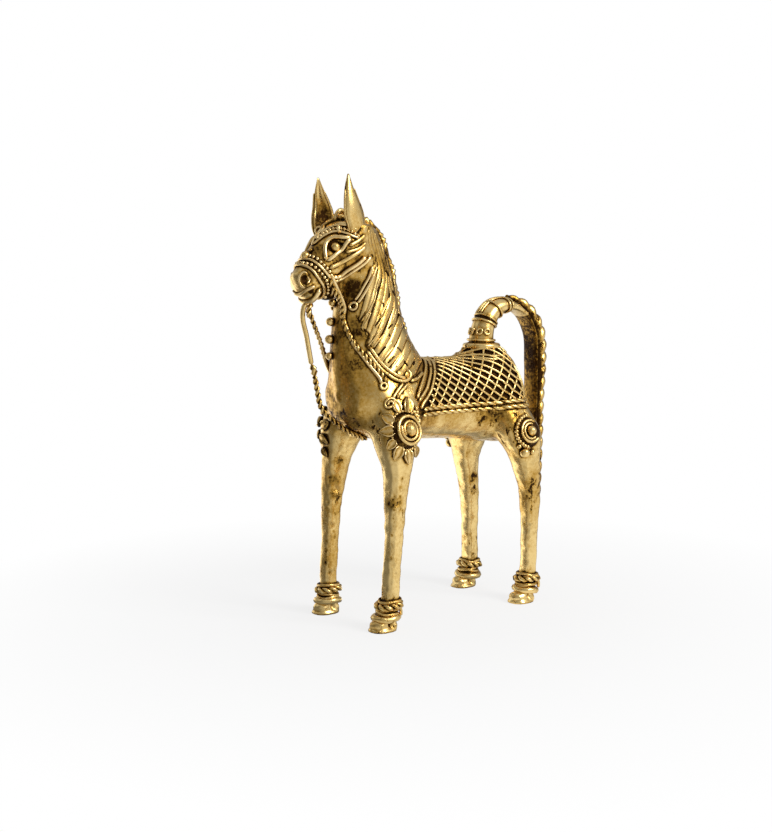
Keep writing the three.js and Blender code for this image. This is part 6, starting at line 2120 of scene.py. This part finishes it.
@dataclass(frozen=True)
class Studio:
    """A white studio with soft light, and the camera at the photograph's viewing angle."""

    position: Point = (405.9, -342.2, 134.8)
    azimuth: float = 51.69
    elevation: float = 5.92
    focal_pixels: float = 1300.0
    frame_height: float = 832.0
    sensor: float = 36.0
    room_level: float = 0.18
    fill_level: float = 0.35
    floor_mirrored: float = 1.5
    floor_reach: float = 6.0
    white: tuple[float, float, float, float] = (1.0, 1.0, 1.0, 1.0)
    paper: tuple[float, float, float, float] = (0.85, 0.85, 0.85, 1.0)
    lamp_place: Point = (0.62, 0.22, 0.53)
    lamp_aim: Point = (0.0, 0.0, 0.09)
    lamp_size: float = 0.35
    lamp_power: float = 4.0
    panels: tuple[tuple[Point, float, float, float], ...] = (
        ((0.72, 0.69, 0.0), 0.45, 0.95, 0.52), ((-0.95, 0.30, 0.0), 0.50, 0.97, 0.46),
        ((0.10, 0.10, 0.99), 0.55, 0.95, 0.54), ((0.77, 0.27, 0.55), 0.88, 0.98, 0.90),
        ((0.785, -0.62, 0.0), 0.45, 0.95, 0.32), ((-0.97, -0.22, 0.0), 0.86, 0.985, 0.80),
        ((-0.49, -0.62, 0.56), 0.88, 0.97, 0.50),
    )

    def camera(self) -> None:
        """Sets the camera up."""
        data = bpy.data.cameras.new("camera")
        data.sensor_width = self.sensor
        data.lens = self.focal_pixels / self.frame_height * data.sensor_width
        data.clip_start, data.clip_end = 0.01, 20.0
        made = placed("camera", data)
        a, e = math.radians(self.azimuth), math.radians(self.elevation)
        back = Vector((math.sin(a) * math.cos(e), -math.cos(a) * math.cos(e), math.sin(e)))
        made.location = to_frame(np.array(self.position))
        made.rotation_euler = (-back).to_track_quat("-Z", "Y").to_euler()
        bpy.context.scene.camera = made

    def lamp(self) -> None:
        """Adds a soft square lamp that faces the horse."""
        data = bpy.data.lights.new("key", "AREA")
        data.size = self.lamp_size
        data.energy = self.lamp_power
        made = placed("key", data)
        made.location = self.lamp_place
        way = Vector(self.lamp_aim) - Vector(self.lamp_place)
        made.rotation_euler = way.to_track_quat("-Z", "Y").to_euler()

    def surround(self, tree: Tree, direction: Socket) -> Socket:
        """Gives how bright the room is in a direction, as the metal mirrors it.

        Args:
            tree: the shader's nodes.
            direction: the direction from the horse.

        Returns:
            The brightness: a dark room with seven soft panels round the horse and above it.
        """
        total: Socket | float = self.room_level
        for way, low, high, level in self.panels:
            facing = tree.vector("DOT_PRODUCT", direction, way, out="Value")
            total = tree.math("ADD", tree.ramp(facing, low, high, 0.0, level, smooth=True), total)
        return total

    def floor(self) -> None:
        """Lays a plain white floor that keeps a faint shadow."""
        mesh = bpy.data.meshes.new("floor")
        far = self.floor_reach
        mesh.from_pydata([(-far, -far, 0), (far, -far, 0), (far, far, 0), (-far, far, 0)], [], [(0, 1, 2, 3)])
        made = bpy.data.materials.new("white_floor")
        tree = Tree.cleared(made)
        path = tree.add("ShaderNodeLightPath").outputs
        mirror = tree.math("MAXIMUM", path["Is Glossy Ray"], path["Is Transmission Ray"])
        place = tree.add("ShaderNodeTexCoord").outputs["Object"]
        bright = tree.ramp(tree.vector("LENGTH", place, out="Value"), 0.05, 0.22, 0.80, 1.0)
        share = tree.math("MAXIMUM", tree.math("MULTIPLY", path["Is Camera Ray"], bright), mirror)
        level = self.surround(tree, tree.vector("NORMALIZE", place))
        level = tree.math("MULTIPLY", level, self.floor_mirrored)
        level = tree.add("ShaderNodeMix", data_type="FLOAT", inputs={0: mirror, 2: 1.0, 3: level}).outputs[0]
        paper = tree.add("ShaderNodeBsdfDiffuse", self.paper).outputs[0]
        glow = tree.add("ShaderNodeEmission", self.white, level).outputs[0]
        tree.add("ShaderNodeOutputMaterial", tree.add("ShaderNodeMixShader", share, paper, glow).outputs[0])
        mesh.materials.append(made)
        placed("floor", mesh)

    def world(self) -> None:
        """Shows white to the camera and the room's panels to the metal, and lights the rest softly."""
        made = bpy.data.worlds.new("studio")
        bpy.context.scene.world = made
        tree = Tree.cleared(made)
        path = tree.add("ShaderNodeLightPath").outputs
        shade = self.surround(tree, tree.add("ShaderNodeTexCoord").outputs["Generated"])
        levels = (shade, self.fill_level, 1.0)
        lights = [tree.add("ShaderNodeBackground", self.white, level) for level in levels]
        room, fill, plain = (light.outputs[0] for light in lights)
        mirror = tree.math("MAXIMUM", path["Is Glossy Ray"], path["Is Transmission Ray"])
        inner = tree.add("ShaderNodeMixShader", mirror, fill, room).outputs[0]
        outer = tree.add("ShaderNodeMixShader", path["Is Camera Ray"], inner, plain).outputs[0]
        tree.add("ShaderNodeOutputWorld", outer)

    def build(self) -> None:
        """Sets up the camera, floor, world and lamp."""
        bpy.context.scene.view_settings.view_transform = "Standard"
        self.camera()
        self.floor()
        self.world()
        self.lamp()


def main() -> None:
    """Builds the horse and its studio."""
    logging.basicConfig(level=logging.INFO, format="%(name)s %(message)s")
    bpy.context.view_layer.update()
    Studio().build()
    Horse().cast()


if __name__ == "__main__":
    main()
